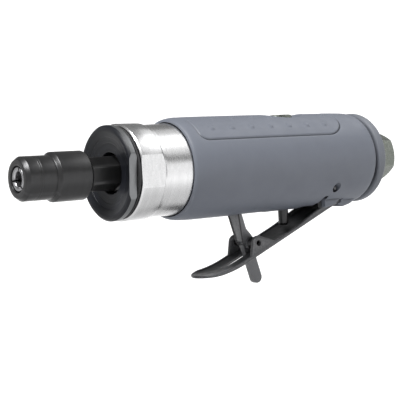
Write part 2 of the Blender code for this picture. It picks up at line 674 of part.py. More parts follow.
def coil(name, radius, wire, turns, length, steps_per_turn, start, direction):
    """A coil spring as a tube along a helix, from start along Z or along Y."""
    spine = bpy.data.curves.new(name, "CURVE")
    spine.dimensions = "3D"
    spine.bevel_depth = wire * MM
    spine.bevel_resolution = 0
    spine.use_fill_caps = True
    total = int(turns * steps_per_turn)
    line = spine.splines.new("POLY")
    line.points.add(total)
    for step in range(total + 1):
        angle = math.tau * step / steps_per_turn
        along = length * step / total
        a, b = radius * math.cos(angle), radius * math.sin(angle)
        local = (a, b, along) if direction == "Z" else (a, along, b)
        point = (Vector(start) + Vector(local)) * MM
        line.points[step].co = (*point, 1.0)
    piece = bpy.data.objects.new(name, spine)
    bpy.context.scene.collection.objects.link(piece)
    spine.materials.append(finish_look("spring_steel"))
    return piece


def lock_spring():
    """The torsion spring beside the lock's hub, on the same pin."""
    return coil("lock_spring", 2.05, 0.38, 3.25, 2.75, 10, (LOCK_PIN_X, -5.85, LOCK_PIN_Z), "Y")


def throttle_plunger():
    """The pin that the lever pushes, with its seal groove and the nose that lifts the valve."""
    foot = PLUNGER_FOOT
    body = PLUNGER_RADIUS
    plunger = turned("throttle_plunger", [
        (foot, 0.0), (foot, body - 0.8), (foot + 0.8, body), (-17.6, body), (-17.6, 2.0), (-16.4, 2.0),
        (-16.4, body), (-13.0, body), (-12.9, 1.4), (-6.8, 1.4), (-6.8, 0.0)],
        SMALL, "Z", (VALVE_X, 0, 0), False)
    pivot(plunger, VALVE_X, 0.0)
    return finished(plunger, "black_oxide")


def plunger_o_ring():
    seal = torus("plunger_o_ring", 2.38, 0.3, SMALL, "Z", (VALVE_X, 0, -17.0))
    pivot(seal, VALVE_X, 0.0)
    return finished(seal, "seal_rubber")


def valve_seat():
    seat = turned("valve_seat", [(-9.4, 2.4), (-9.4, 4.4), (-6.8, 4.4), (-6.8, 3.2), (-7.4, 2.4)],
                  SMALL, "Z", (VALVE_X, 0, 0))
    return finished(seat, "brass")


def throttle_valve():
    """The poppet, with the stem that centres its spring."""
    valve = turned("throttle_valve", [
        (-6.5, 0.0), (-6.5, 3.3), (-6.1, 3.7), (-4.7, 3.7), (-4.7, 1.3), (1.5, 1.3), (1.8, 1.0), (1.8, 0.0)],
        SMALL, "Z", (VALVE_X, 0, 0), False)
    pivot(valve, VALVE_X, 0.0)
    return finished(valve, "bright_steel")


def valve_spring():
    return coil("valve_spring", 2.6, 0.35, 5.0, 9.9, 9, (VALVE_X, 0, -4.05), "Z")


def power_regulator():
    """The speed screw in the top of the valve bore, with a screwdriver slot."""
    screw = turned("power_regulator", [
        (6.5, 0.0), (6.5, 4.0), (6.8, 4.3), (12.4, 4.3), (12.4, 3.55), (13.6, 3.55), (13.6, 4.3), (16.5, 4.3),
        (16.5, 5.6), (18.8, 5.6), (19.2, 5.2), (19.2, 0.0)], MEDIUM, "Z", (VALVE_X, 0, 0), False)
    cut(screw, box("regulator_slot_cut", (VALVE_X - 7.0, -0.7, 17.9), (VALVE_X + 7.0, 0.7, 20.0)))
    pivot(screw, VALVE_X, 0.0)
    return finished(screw, "zinc_steel")


def regulator_o_ring():
    seal = torus("regulator_o_ring", 4.02, 0.42, MEDIUM, "Z", (VALVE_X, 0, 13.0))
    pivot(seal, VALVE_X, 0.0)
    return finished(seal, "seal_rubber")


# ---------------------------------------------------------------- assembly

def build():
    clear_scene()
    motor_housing()
    grip_sleeve()
    exhaust_cap()
    exhaust_muffler()
    clamp_nut()
    front_gasket()
    spindle_seal()
    inlet_bushing()
    inlet_screen()
    inlet_o_ring()
    end_plates()
    cylinder_dowel()
    motor_cylinder()
    rotor()
    for number in range(VANES):
        vane(number)
    bearing("front_bearing", -65.0, -58.1, 4.1, 6.0, 8.9, 10.95, 8)
    bearing("rear_bearing", -13.8, -8.9, 3.1, 4.2, 6.0, 7.5, 8)
    collet_body()
    collet()
    collet_nut()
    throttle_lever()
    lever_pin()
    lock_lever()
    lock_pin()
    lock_spring()
    throttle_plunger()
    plunger_o_ring()
    valve_seat()
    throttle_valve()
    valve_spring()
    power_regulator()
    regulator_o_ring()


build()
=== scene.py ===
"""Looks of the straight air die grinder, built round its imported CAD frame.

Lengths are in millimetres and every helper turns them into metres. The spindle axis is X, the
collet is at -X and the throttle lever hangs at -Z, as in the frame.
"""
import json
import math

import bmesh
import bpy
import numpy as np
from mathutils import Matrix, Vector


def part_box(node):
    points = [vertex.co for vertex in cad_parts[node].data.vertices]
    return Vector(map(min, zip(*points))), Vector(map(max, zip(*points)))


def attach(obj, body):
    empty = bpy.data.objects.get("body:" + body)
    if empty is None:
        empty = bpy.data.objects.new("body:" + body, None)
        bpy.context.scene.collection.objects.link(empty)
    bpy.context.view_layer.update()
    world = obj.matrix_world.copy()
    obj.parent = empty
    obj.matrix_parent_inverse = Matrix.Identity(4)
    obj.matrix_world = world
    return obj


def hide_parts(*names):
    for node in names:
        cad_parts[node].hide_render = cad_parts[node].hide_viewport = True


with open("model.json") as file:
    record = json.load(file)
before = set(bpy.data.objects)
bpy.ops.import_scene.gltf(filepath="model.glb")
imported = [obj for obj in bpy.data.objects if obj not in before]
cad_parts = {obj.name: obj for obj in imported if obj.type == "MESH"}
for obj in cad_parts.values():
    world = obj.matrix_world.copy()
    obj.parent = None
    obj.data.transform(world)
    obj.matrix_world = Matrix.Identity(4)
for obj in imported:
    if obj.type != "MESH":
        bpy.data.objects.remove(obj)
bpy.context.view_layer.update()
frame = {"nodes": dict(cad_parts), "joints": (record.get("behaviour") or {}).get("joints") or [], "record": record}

MM = 0.001

# ---- places read from the frame


def span(node, axis=0):
    """Where a CAD node starts and ends along an axis, in millimetres."""
    low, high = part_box(node)
    return low[axis] / MM, high[axis] / MM


def joint_place(name):
    """Where a joint's axis passes, in millimetres."""
    place = next(joint["pos_m"] for joint in frame["joints"] if joint["name"] == name)
    return [value / MM for value in place]


NUT_FRONT, NUT_REAR = span("collet_nut")
COLLET_FRONT, COLLET_REAR = span("collet")
NECK_FRONT, NECK_REAR = span("collet_body")
CLAMP_FRONT, CLAMP_REAR = span("clamp_nut")
CASE_FRONT, CASE_REAR = span("motor_housing")
GRIP_FRONT, GRIP_REAR = span("grip_sleeve")
CAP_FRONT, CAP_REAR = span("exhaust_cap")
INLET_FRONT, INLET_REAR = span("inlet_bushing")
PIN_X, _, PIN_Z = joint_place("throttle_squeeze")
LOCK_X, _, LOCK_Z = joint_place("lock_fold")
VALVE_X = joint_place("regulator_turn")[0]
VALVE_AXIS = ("Z", (VALVE_X, 0, 0))
PIN_AXIS = ("Y", (PIN_X, 0, PIN_Z))
LOCK_AXIS = ("Y", (LOCK_X, 0, LOCK_Z))
PLUNGER_FOOT = span("throttle_plunger", 2)[0]
FLOOR_DROP = 260.0               # the floor is this far below the spindle axis

# Sizes that the looks share with the CAD model.
GRIP_RADIUS = 20.0
GRIP_BORE = 17.3
RING_RADIUS = 18.1
RING_FLAT = 17.1
RING_REAR = CASE_FRONT + 10.1
NUT_TURN = math.radians(5.5)
INLET_TURN = math.radians(5.0)
LEVER_OPEN = math.radians(21.0)
LEVER_HALF_WIDTH = 7.9
LEVER_DROP = 9.6
LEVER_SHEET = 1.5
LOCK_U, LOCK_W = -42.2, -4.9
SLOT_HALF_WIDTH = 8.5
HEX_FRONT = 55.9                 # front of the inlet's hexagon
HUB_BORE = 1.35                  # the lock's bore for its pin

LARGE, MIDDLE, LITTLE = 160, 96, 48     # sides of round pieces

# ---- mesh helpers


def add_mesh(name, points, faces):
    """A named object from points in millimetres, with its faces turned outwards."""
    mesh = bpy.data.meshes.new(name)
    mesh.from_pydata([tuple(c * MM for c in point) for point in points], [], faces)
    shape = bmesh.new()
    shape.from_mesh(mesh)
    bmesh.ops.remove_doubles(shape, verts=shape.verts, dist=0.002 * MM)
    bmesh.ops.recalc_face_normals(shape, faces=shape.faces)
    if shape.calc_volume(signed=True) < 0:
        bmesh.ops.reverse_faces(shape, faces=shape.faces)
    shape.to_mesh(mesh)
    shape.free()
    piece = bpy.data.objects.new(name, mesh)
    bpy.context.scene.collection.objects.link(piece)
    return piece


def smooth(piece, degrees=32.0):
    """Shade a piece smoothly up to an angle between faces."""
    piece.data.shade_smooth()
    piece.data.set_sharp_from_angle(angle=math.radians(degrees))
    return piece


def eased(corners, closed=True):
    """Round the corners of an outline. A corner is (a, b) or (a, b, radius)."""
    count = len(corners)
    outline = []
    for index, corner in enumerate(corners):
        here = Vector(corner[:2])
        radius = corner[2] if len(corner) > 2 else 0.0
        at_end = not closed and index in (0, count - 1)
        if radius <= 0 or at_end:
            outline.append(tuple(here))
            continue
        back = Vector(corners[index - 1][:2]) - here
        ahead = Vector(corners[(index + 1) % count][:2]) - here
        half_angle = back.angle(ahead) / 2
        reach = min(radius / math.tan(half_angle), 0.48 * back.length, 0.48 * ahead.length)
        start = here + back.normalized() * reach
        end = here + ahead.normalized() * reach
        steps = max(2, int(math.degrees(math.pi - 2 * half_angle) / 18))
        for step in range(steps + 1):
            t = step / steps
            bend = start.lerp(here, t).lerp(here.lerp(end, t), t)
            outline.append(tuple(bend))
    return outline


def band(near, far, count, closed=True):
    """Quads between two rows of points, which start at the numbers near and far."""
    return [(near + k, near + (k + 1) % count, far + (k + 1) % count, far + k)
            for k in range(count if closed else count - 1)]


def loft(name, loops):
    """A closed skin through loops that all have the same number of points."""
    count = len(loops[0])
    points = [point for loop in loops for point in loop]
    faces = [tuple(range(count)), tuple(range(len(points) - count, len(points)))]
    for number in range(len(loops) - 1):
        faces += band(number * count, (number + 1) * count, count)
    return add_mesh(name, points, faces)


def axis_points(outline, sides, axis, centre):
    """Points of an (along, radius) outline, repeated round an axis."""
    points = []
    for step in range(sides):
        angle = math.tau * (step + 0.5) / sides
        ca, sa = math.cos(angle), math.sin(angle)
        for along, radius in outline:
            a, b = radius * ca, radius * sa
            local = {"X": (along, a, b), "Y": (a, along, b), "Z": (a, b, along)}[axis]
            points.append(tuple(l + c for l, c in zip(local, centre)))
    return points


def turned(name, corners, sides=MIDDLE, axis="X", centre=(0, 0, 0), closed=True):
    """Turn an outline of (along, radius, rounding) corners about an axis."""
    outline = eased(corners, closed)
    count = len(outline)
    points = axis_points(outline, sides, axis, centre)
    faces = []
    for step in range(sides):
        faces += band(step * count, ((step + 1) % sides) * count, count, closed)
    piece = add_mesh(name, points, faces)
    shape = bmesh.new()
    shape.from_mesh(piece.data)
    bmesh.ops.dissolve_degenerate(shape, dist=0.001 * MM, edges=shape.edges)
    shape.to_mesh(piece.data)
    shape.free()
    return smooth(piece)


def rod(name, start, end, radius, sides=LITTLE, axis="X", centre=(0, 0, 0), ease=0.0):
    """A solid cylinder along an axis, from start to end."""
    corners = [(start, 0.0), (start, radius, ease), (end, radius, ease), (end, 0.0)]
    return turned(name, corners, sides, axis, centre, closed=False)


def prism(name, outline, low, high, axis="Y"):
    """Extrude an outline from low to high along an axis."""
    place = {"X": lambda a, b, c: (c, a, b), "Y": lambda a, b, c: (a, c, b),
             "Z": lambda a, b, c: (a, b, c)}[axis]
    return loft(name, [[place(*corner, level) for corner in outline] for level in (low, high)])


def box(name, low, high):
    """A block between two opposite corners."""
    outline = [(low[0], low[2]), (high[0], low[2]), (high[0], high[2]), (low[0], high[2])]
    return prism(name, outline, low[1], high[1])


def arc(centre, radius, start, end, steps):
    """Points on an arc between two angles in degrees."""
    points = []
    for step in range(steps + 1):
        angle = math.radians(start + (end - start) * step / steps)
        points.append((centre[0] + radius * math.cos(angle), centre[1] + radius * math.sin(angle)))
    return points


def settle(piece):
    """Turn a piece's modifiers into its mesh."""
    bpy.context.view_layer.update()
    graph = bpy.context.evaluated_depsgraph_get()
    mesh = bpy.data.meshes.new_from_object(piece.evaluated_get(graph))
    old = piece.data
    piece.modifiers.clear()
    piece.data = mesh
    mesh.name = piece.name
    bpy.data.meshes.remove(old)
    return piece


def combine(piece, operation, *tools):
    """Join, cut or intersect a piece with tools, which are used up."""
    for tool in tools:
        step = piece.modifiers.new(tool.name, "BOOLEAN")
        step.operation = operation
        step.solver = "EXACT"
        step.object = tool
        weld = piece.modifiers.new(tool.name + "_weld", "WELD")
        weld.merge_threshold = 0.003 * MM
    settle(piece)
    for tool in tools:
        bpy.data.objects.remove(tool)
    return piece


def cut(piece, *tools):
    return combine(piece, "DIFFERENCE", *tools)


def join(piece, *tools):
    return combine(piece, "UNION", *tools)


def merge(piece, *others):
    """Keep closed pieces in one object, without joining their surfaces."""
    shape = bmesh.new()
    shape.from_mesh(piece.data)
    for other in others:
        shape.from_mesh(other.data)
        bpy.data.objects.remove(other)
    shape.to_mesh(piece.data)
    shape.free()
    return piece


def bevelled(piece, width, segments=3, degrees=35.0):
    """Round the edges that are sharper than an angle."""
    step = piece.modifiers.new("bevel", "BEVEL")
    step.width = width * MM
    step.segments = segments
    step.limit_method = "ANGLE"
    step.angle_limit = math.radians(degrees)
    step.use_clamp_overlap = True
    return settle(piece)


def turn_about(piece, angle, axis="X", centre=(0, 0, 0)):
    """Rotate a piece's mesh about an axis through a point in millimetres."""
    place = Vector(centre) * MM
    matrix = Matrix.Translation(place) @ Matrix.Rotation(angle, 4, axis) @ Matrix.Translation(-place)
    piece.data.transform(matrix)
    return piece


def polygon(to_flat, sides, turn):
    """Corners of a regular outline with its flats at a distance from the centre."""
    radius = to_flat / math.cos(math.pi / sides)
    return [(radius * math.cos(math.pi + turn + math.pi * (2 * k + 1) / sides),
             radius * math.sin(math.pi + turn + math.pi * (2 * k + 1) / sides)) for k in range(sides)]


# ---- material helpers


class Shader:
    """A small builder for one procedural material."""

    def __init__(self, name, colour, roughness, metallic=0.0, **sockets):
        self.material = bpy.data.materials.new(name)
        self.material.use_nodes = True
        self.nodes = self.material.node_tree.nodes
        self.links = self.material.node_tree.links
        self.principled = self.nodes["Principled BSDF"]
        self.principled.inputs["Base Color"].default_value = (*colour, 1.0)
        self.principled.inputs["Roughness"].default_value = roughness
        self.principled.inputs["Metallic"].default_value = metallic
        for socket, value in sockets.items():
            self.principled.inputs[socket.replace("_", " ")].default_value = value
        self.roughness = roughness
        self.place = self.nodes.new("ShaderNodeTexCoord").outputs["Object"]
        self.normal = None

    def link(self, source, target):
        self.links.new(source, target)

    def math(self, operation, a, b=None, clamp=False):
        node = self.nodes.new("ShaderNodeMath")
        node.operation = operation
        node.use_clamp = clamp
        for socket, value in zip(node.inputs, (a, b)):
            if value is None:
                continue
            if isinstance(value, (int, float)):
                socket.default_value = value
            else:
                self.link(value, socket)
        return node.outputs[0]

    def noise(self, scale, detail=3.0, roughness=0.5, place=None):
        """Noise whose features are about `scale` millimetres across."""
        node = self.nodes.new("ShaderNodeTexNoise")
        node.inputs["Scale"].default_value = 1.0 / (scale * MM)
        node.inputs["Detail"].default_value = detail
        node.inputs["Roughness"].default_value = roughness
        self.link(place or self.place, node.inputs["Vector"])
        return node.outputs["Fac"]

    def turning(self, centre=(0.0, 0.0)):
        """Coordinates that change along X and with distance from the X axis, and barely round it."""
        parts = self.nodes.new("ShaderNodeSeparateXYZ")
        self.link(self.place, parts.inputs[0])
        y = self.math("SUBTRACT", parts.outputs["Y"], centre[0] * MM)
        z = self.math("SUBTRACT", parts.outputs["Z"], centre[1] * MM)
        radius = self.math("SQRT",
                           self.math("ADD", self.math("MULTIPLY", y, y), self.math("MULTIPLY", z, z)))
        angle = self.math("ARCTAN2", z, y)
        together = self.nodes.new("ShaderNodeCombineXYZ")
        self.link(parts.outputs["X"], together.inputs["X"])
        self.link(radius, together.inputs["Y"])
        self.link(self.math("MULTIPLY", angle, 0.0004), together.inputs["Z"])
        return together.outputs[0]

    def stretched(self, along):
        """Coordinates drawn out along one axis, for grain that runs that way."""
        node = self.nodes.new("ShaderNodeVectorMath")
        node.operation = "MULTIPLY"
        node.inputs[1].default_value = tuple(0.06 if axis == along else 1.0 for axis in "XYZ")
        self.link(self.place, node.inputs[0])
        return node.outputs[0]

    def map_range(self, factor, *limits):
        """Map a factor from one range to another. The limits are the two ends of each."""
        node = self.nodes.new("ShaderNodeMapRange")
        for socket, limit in zip(("From Min", "From Max", "To Min", "To Max"), limits):
            node.inputs[socket].default_value = limit
        self.link(factor, node.inputs["Value"])
        return node

    def ramp(self, factor, low, high):
        """Spread the middle of a noise over low to high."""
        return self.map_range(factor, 0.3, 0.7, low, high).outputs["Result"]

    def fade(self, factor, *limits):
        """A soft change from one value to another."""
        node = self.map_range(factor, *limits)
        node.interpolation_type = "SMOOTHSTEP"
        return node.outputs["Result"]

    def tint(self, factor, other, amount=1.0):
        """Blend the colour so far towards another by a factor."""
        node = self.nodes.new("ShaderNodeMix")
        node.data_type = "RGBA"
        target = self.principled.inputs["Base Color"]
        if target.is_linked:
            self.link(target.links[0].from_socket, node.inputs[6])
        else:
            node.inputs[6].default_value = target.default_value
        node.inputs[7].default_value = (*other, 1.0)
        self.link(self.math("MULTIPLY", factor, amount, clamp=True), node.inputs[0])
        self.link(node.outputs[2], target)
        return self

    def cloud(self, scale, detail, other, amount):
        """Blend towards another colour in clouds of about `scale` millimetres."""
        return self.tint(self.ramp(self.noise(scale, detail), 0.0, 1.0), other, amount)

    def vary_roughness(self, factor, spread):
        """Spread the roughness to both sides of its value."""
        low = max(self.roughness - spread, 0.02)
        self.link(self.ramp(factor, low, self.roughness + spread),
                  self.principled.inputs["Roughness"])
        return self

    def bump(self, height, strength, distance):
        """Add a layer of relief, `distance` millimetres high."""
        node = self.nodes.new("ShaderNodeBump")
        node.inputs["Strength"].default_value = strength
        node.inputs["Distance"].default_value = distance * MM
        self.link(height, node.inputs["Height"])
        if self.normal is not None:
            self.link(self.normal, node.inputs["Normal"])
        self.normal = node.outputs["Normal"]
        self.link(self.normal, self.principled.inputs["Normal"])
        return self

    def worn_edges(self, colour, amount=0.5, sharpness=12.0):
        """Rub the finish thin where the surface is convex."""
        geometry = self.nodes.new("ShaderNodeNewGeometry")
        edge = self.math("MULTIPLY", self.math("SUBTRACT", geometry.outputs["Pointiness"], 0.52),
                         sharpness, clamp=True)
        patchy = self.math("MULTIPLY", edge, self.ramp(self.noise(0.7, 4.0), 0.3, 1.2), clamp=True)
        return self.tint(patchy, colour, amount)

    def painted_hollow_shade(self, colour, amount=0.7, sharpness=14.0):
        """Painted shade: darken the colour where the surface is concave, in grooves and hollows."""
        geometry = self.nodes.new("ShaderNodeNewGeometry")
        concave_shade = self.math("MULTIPLY", self.math("SUBTRACT", 0.485, geometry.outputs["Pointiness"]),
                           sharpness, clamp=True)
        return self.tint(concave_shade, colour, amount)


def turned_metal(name, colour, roughness, metallic=1.0, line=0.12, depth=0.004, spread=0.07,
                 **sockets):
    """Machined metal: fine rings round the axis, cloudy tone and uneven gloss."""
    look = Shader(name, colour, roughness, metallic, **sockets)
    rings = look.noise(line, 2.0, place=look.turning())
    broad = look.noise(1.4, 3.0, place=look.turning())
    darker = tuple(c * 0.72 for c in colour)
    look.tint(look.ramp(broad, 0.0, 1.0), darker, 0.35)
    look.cloud(9.0, 4.0, darker, 0.30)
    look.vary_roughness(rings, spread)
    look.bump(rings, 0.5, depth)
    return look


def housing_aluminium():
    look = turned_metal("housing_aluminium", (0.70, 0.70, 0.705), 0.27, 1.0, 0.10, 0.0015, 0.04)
    look.bump(look.noise(2.2, 3.0), 0.08, 0.01)
    return look.material


def black_oxide():
    look = turned_metal("black_oxide", (0.045, 0.045, 0.046), 0.34, 0.75, 0.14, 0.003, 0.05)
    look.worn_edges((0.13, 0.13, 0.135), 0.15)
    # Painted shade: the grooves and hollows of the black oxide parts are darkened almost to black.
    look.painted_hollow_shade((0.004, 0.004, 0.004), 0.9)
    return look.material


def clamp_black():
    look = turned_metal("clamp_black", (0.006, 0.007, 0.009), 0.38, 0.0, 0.55, 0.03, 0.08,
                        Specular_IOR_Level=0.24)
    wide = look.noise(1.1, 1.0, place=look.turning())
    look.tint(look.ramp(wide, 0.0, 1.0), (0.010, 0.011, 0.016), 0.7)
    return look.material


def clamp_side():
    look = turned_metal("clamp_side", (0.20, 0.205, 0.21), 0.40, 0.9, 0.14, 0.003, 0.05)
    look.worn_edges((0.40, 0.40, 0.41), 0.3)
    return look.material


def moulded(name, colour, roughness, grain=0.22, depth=0.012):
    """Matte moulded skin: fine pebbling, soft tone changes and rubbed high spots."""
    look = Shader(name, colour, roughness, 0.0, Specular_IOR_Level=0.42)
    pebbles = look.noise(grain, 3.0, 0.6)
    patches = look.noise(14.0, 4.0, 0.55)
    look.tint(look.ramp(patches, 0.0, 1.0), tuple(c * 0.86 for c in colour), 0.6)
    look.tint(look.ramp(pebbles, 0.0, 1.0), tuple(min(c * 1.18, 1.0) for c in colour), 0.25)
    look.vary_roughness(look.noise(5.0, 4.0), 0.06)
    look.bump(pebbles, 0.35, depth)
    return look


def grip_rubber():
    look = moulded("grip_rubber", (0.110, 0.120, 0.144), 0.52)
    look.worn_edges((0.25, 0.26, 0.28), 0.20)
    # Painted shade: the panel's groove and the other hollows of the grip are darkened almost to black.
    look.painted_hollow_shade((0.010, 0.011, 0.012), 0.95, 26.0)
    return look.material


def cap_plastic():
    look = moulded("cap_plastic", (0.112, 0.120, 0.138), 0.5, 0.3, 0.01)
    look.worn_edges((0.24, 0.25, 0.27), 0.3)
    return look.material


def lever_steel():
    look = Shader("lever_steel", (0.052, 0.053, 0.056), 0.40, 0.0, Specular_IOR_Level=0.32)
    look.cloud(7.0, 4.0, (0.036, 0.037, 0.040), 0.6)
    look.vary_roughness(look.noise(2.5, 5.0), 0.08)
    look.bump(look.noise(0.3, 3.0), 0.3, 0.012)
    look.worn_edges((0.30, 0.30, 0.31), 0.5)
    # Painted shade: the hollows inside the lever's channel and round its ears are darkened almost to black.
    look.painted_hollow_shade((0.006, 0.006, 0.007), 0.9)
    return look.material


def lock_steel():
    look = Shader("lock_steel", (0.092, 0.094, 0.100), 0.40, 0.15)
    look.cloud(5.0, 4.0, (0.06, 0.062, 0.066), 0.5)
    look.vary_roughness(look.noise(2.0, 5.0), 0.07)
    look.bump(look.noise(0.28, 3.0), 0.25, 0.012)
    look.worn_edges((0.30, 0.30, 0.31), 0.5)
    return look.material


def inlet_steel():
    look = Shader("inlet_steel", (0.130, 0.140, 0.126), 0.30, 0.95)
    look.cloud(4.0, 5.0, (0.085, 0.098, 0.085), 0.7)
    look.cloud(0.9, 4.0, (0.22, 0.235, 0.20), 0.25)
    look.vary_roughness(look.noise(1.6, 4.0), 0.09)
    look.bump(look.noise(0.25, 3.0, place=look.stretched("X")), 0.3, 0.01)
    look.worn_edges((0.42, 0.44, 0.40), 0.5)
    return look.material


def bright_steel(name, colour, roughness=0.24):
    return turned_metal(name, colour, roughness, 1.0, 0.12, 0.003, 0.06).material


def cast_iron():
    look = turned_metal("cast_iron", (0.24, 0.24, 0.245), 0.45, 0.95, 0.2, 0.006, 0.08)
    look.bump(look.noise(0.5, 5.0, 0.65), 0.3, 0.02)
    return look.material


def brass():
    return turned_metal("brass", (0.66, 0.47, 0.19), 0.28, 1.0, 0.12, 0.003, 0.08).material


def seal_rubber():
    return moulded("seal_rubber", (0.018, 0.018, 0.019), 0.6, 0.15, 0.006).material


def felt():
    look = Shader("felt", (0.055, 0.055, 0.058), 0.95, 0.0, Sheen_Weight=0.3)
    fibres = look.noise(0.18, 6.0, 0.75)
    look.tint(look.ramp(fibres, 0.0, 1.0), (0.13, 0.13, 0.13), 0.6)
    look.bump(fibres, 0.9, 0.12)
    return look.material


def vane_resin():
    look = Shader("vane_resin", (0.27, 0.15, 0.07), 0.5)
    weave = look.noise(0.5, 4.0, 0.6, place=look.stretched("X"))
    look.tint(look.ramp(weave, 0.0, 1.0), (0.14, 0.075, 0.035), 0.8)
    look.bump(weave, 0.3, 0.02)
    return look.material


LOOKS = {
    "housing_aluminium": housing_aluminium(),
    "black_oxide": black_oxide(),
    "clamp_black": clamp_black(),
    "grip_rubber": grip_rubber(),
    "cap_plastic": cap_plastic(),
    "lever_steel": lever_steel(),
    "jaw_steel": bright_steel("jaw_steel", (0.40, 0.40, 0.41), 0.3),
    "bearing_steel": bright_steel("bearing_steel", (0.66, 0.66, 0.67)),
    "spring_steel": bright_steel("spring_steel", (0.075, 0.075, 0.078), 0.3),
    "inlet_steel": inlet_steel(),
    "cast_iron": cast_iron(),
    "brass": brass(),
    "seal_rubber": seal_rubber(),
    "felt": felt(),
    "vane_resin": vane_resin(),
}
CLAMP_SIDE = clamp_side()
LOCK_STEEL = lock_steel()


def dress_frame():
    """Give every CAD node that stays in view the material of its slot."""
    for part in frame["record"]["subparts"]:
        mesh = frame["nodes"][part["node"]].data
        mesh.materials.clear()
        mesh.materials.append(LOOKS[part["material_slot"]])


def two_tone(piece, first, second, is_second):
    """Give a piece two materials. The second goes on the faces that is_second picks."""
    piece.data.materials.append(first)
    piece.data.materials.append(second)
    for face in piece.data.polygons:
        face.material_index = 1 if is_second(face) else 0


def place_piece(piece, node, look=None):
    """Let a detailed piece stand for its CAD node, on that node's body and in its finish."""
    slot = next(part["material_slot"] for part in frame["record"]["subparts"] if part["node"] == node)
    body = next(name for name, nodes in frame["record"]["behaviour"]["bodies"].items()
                if node in nodes)
    if not piece.data.materials:
        piece.data.materials.append(look or LOOKS[slot])
    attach(piece, body)
    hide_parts(node)


def place_turned(node, corners, sides=MIDDLE, axis="X", centre=(0, 0, 0), closed=True, look=None):
    """Let a turned piece stand for its CAD node."""
    place_piece(turned(f"{node}_fine", corners, sides, axis, centre, closed), node, look)


# ---- collet end


def make_collet_nut():
    """A stepped round nut with two fine rings and a chamfered nose."""
    front, rear = NUT_FRONT, NUT_REAR
    barrel, skirt, bore, recess = 7.85, 8.92, 5.95, 7.0
    corners = [(front + 0.1, 4.75, 0.1), (front, 5.1, 0.1), (front, 6.75, 0.3),
               (front + 1.5, barrel, 0.35)]
    for ring in (5.38, 6.18):
        corners += [(front + ring - 0.08, barrel, 0.03), (front + ring, barrel - 0.06, 0.03),
                    (front + ring + 0.08, barrel, 0.03)]
    corners += [
        (front + 11.5, barrel, 0.15), (front + 11.85, 7.68, 0.15), (front + 12.2, barrel, 0.2),
        (front + 13.1, skirt, 0.5), (rear - 0.9, skirt, 0.3), (rear, 8.25, 0.2), (rear, 7.5, 0.15),
        (rear - 0.5, recess, 0.1), (front + 12.85, recess, 0.1), (front + 12.85, bore, 0.1),
        (front + 5.2, bore, 0.2), (front + 2.6, 4.65, 0.2)]
    place_turned("collet_nut", corners, LARGE)


def make_collet():
    """Three spring jaws, parted by slots that end in round holes."""
    front, rear = COLLET_FRONT, COLLET_REAR
    bore, nose, barrel = 2.75, 4.3, 5.5
    half_slot, slot_length = 0.35, 16.5
    corners = [
        (front + 0.5, bore, 0.1), (front, bore + 0.45, 0.15), (front, nose - 0.25, 0.15),
        (front + 0.3, nose, 0.2), (front + 2.7, nose, 0.3), (front + 5.2, barrel, 0.3),
        (front + 12.5, barrel, 0.4), (rear, 4.75, 0.2), (rear, bore, 0.1)]
    piece = turned("collet_fine", corners, MIDDLE)
    for number in range(3):
        slot = box(f"slot_{number}", (front - 1, -half_slot, 1.0),
                   (front + slot_length, half_slot, 7.0))
        end = rod(f"slot_end_{number}", 1.0, 7.0, 0.8, 20, "Z", (front + slot_length, 0, 0))
        angle = math.tau * number / 3 + math.radians(20.0)
        cut(piece, turn_about(slot, angle), turn_about(end, angle))
    place_piece(smooth(piece), "collet")


def thread_corners(start, end, radius, pitch, depth):
    """Corners of a run of thread ridges, from start to end."""
    ridges = int(abs(end - start) / pitch)
    step = (end - start) / ridges
    corners = []
    for number in range(ridges):
        base = start + number * step
        corners.append((base + 0.12 * step, radius - depth, 0.05))
        corners.append((base + 0.45 * step, radius, 0.04))
        corners.append((base + 0.60 * step, radius, 0.04))
        corners.append((base + 0.92 * step, radius - depth, 0.05))
    return corners


def make_collet_body():
    """The spindle nose: a thread, a hexagon that runs into the clamp nut, and a shoulder inside."""
    front, rear = NECK_FRONT, NECK_REAR
    hex_front, hex_rear = front + 12.8, front + 26.4
    corners = [(front, 0.0), (front, 6.1, 0.3)]
    corners += thread_corners(front + 0.6, front + 10.4, 6.7, 1.0, 0.5)
    corners += [(front + 11.2, 6.1, 0.1), (hex_front, 6.1, 0.1), (hex_front + 0.3, 5.2),
                (hex_front + 0.3, 0.0)]
    piece = turned("collet_body_fine", corners, MIDDLE, closed=False)
    hexagon = prism("hexagon", polygon(5.5, 6, NUT_TURN), hex_front - 0.2, hex_rear + 0.3, "X")
    shoulder = turned("shoulder", [
        (hex_rear - 0.3, 0.0), (hex_rear - 0.3, 5.2), (hex_rear, 6.4, 0.1), (hex_rear + 0.5, 6.9, 0.3),
        (rear - 1.2, 6.9, 0.2), (rear - 1.2, 5.8, 0.1), (rear, 5.8, 0.15), (rear, 0.0)],
        MIDDLE, closed=False)
    join(piece, bevelled(hexagon, 0.12, 2), shoulder)
    cut(piece, turned("seat", [
        (front - 1, 0.0), (front - 1, 6.05), (front, 5.95), (front + 7.6, 5.1), (front + 7.6, 3.5),
        (front + 20.3, 3.5), (front + 20.3, 4.2), (rear + 1, 4.2), (rear + 1, 0.0)],
        MIDDLE, closed=False))
    place_piece(smooth(piece), "collet_body")


# ---- motor casing


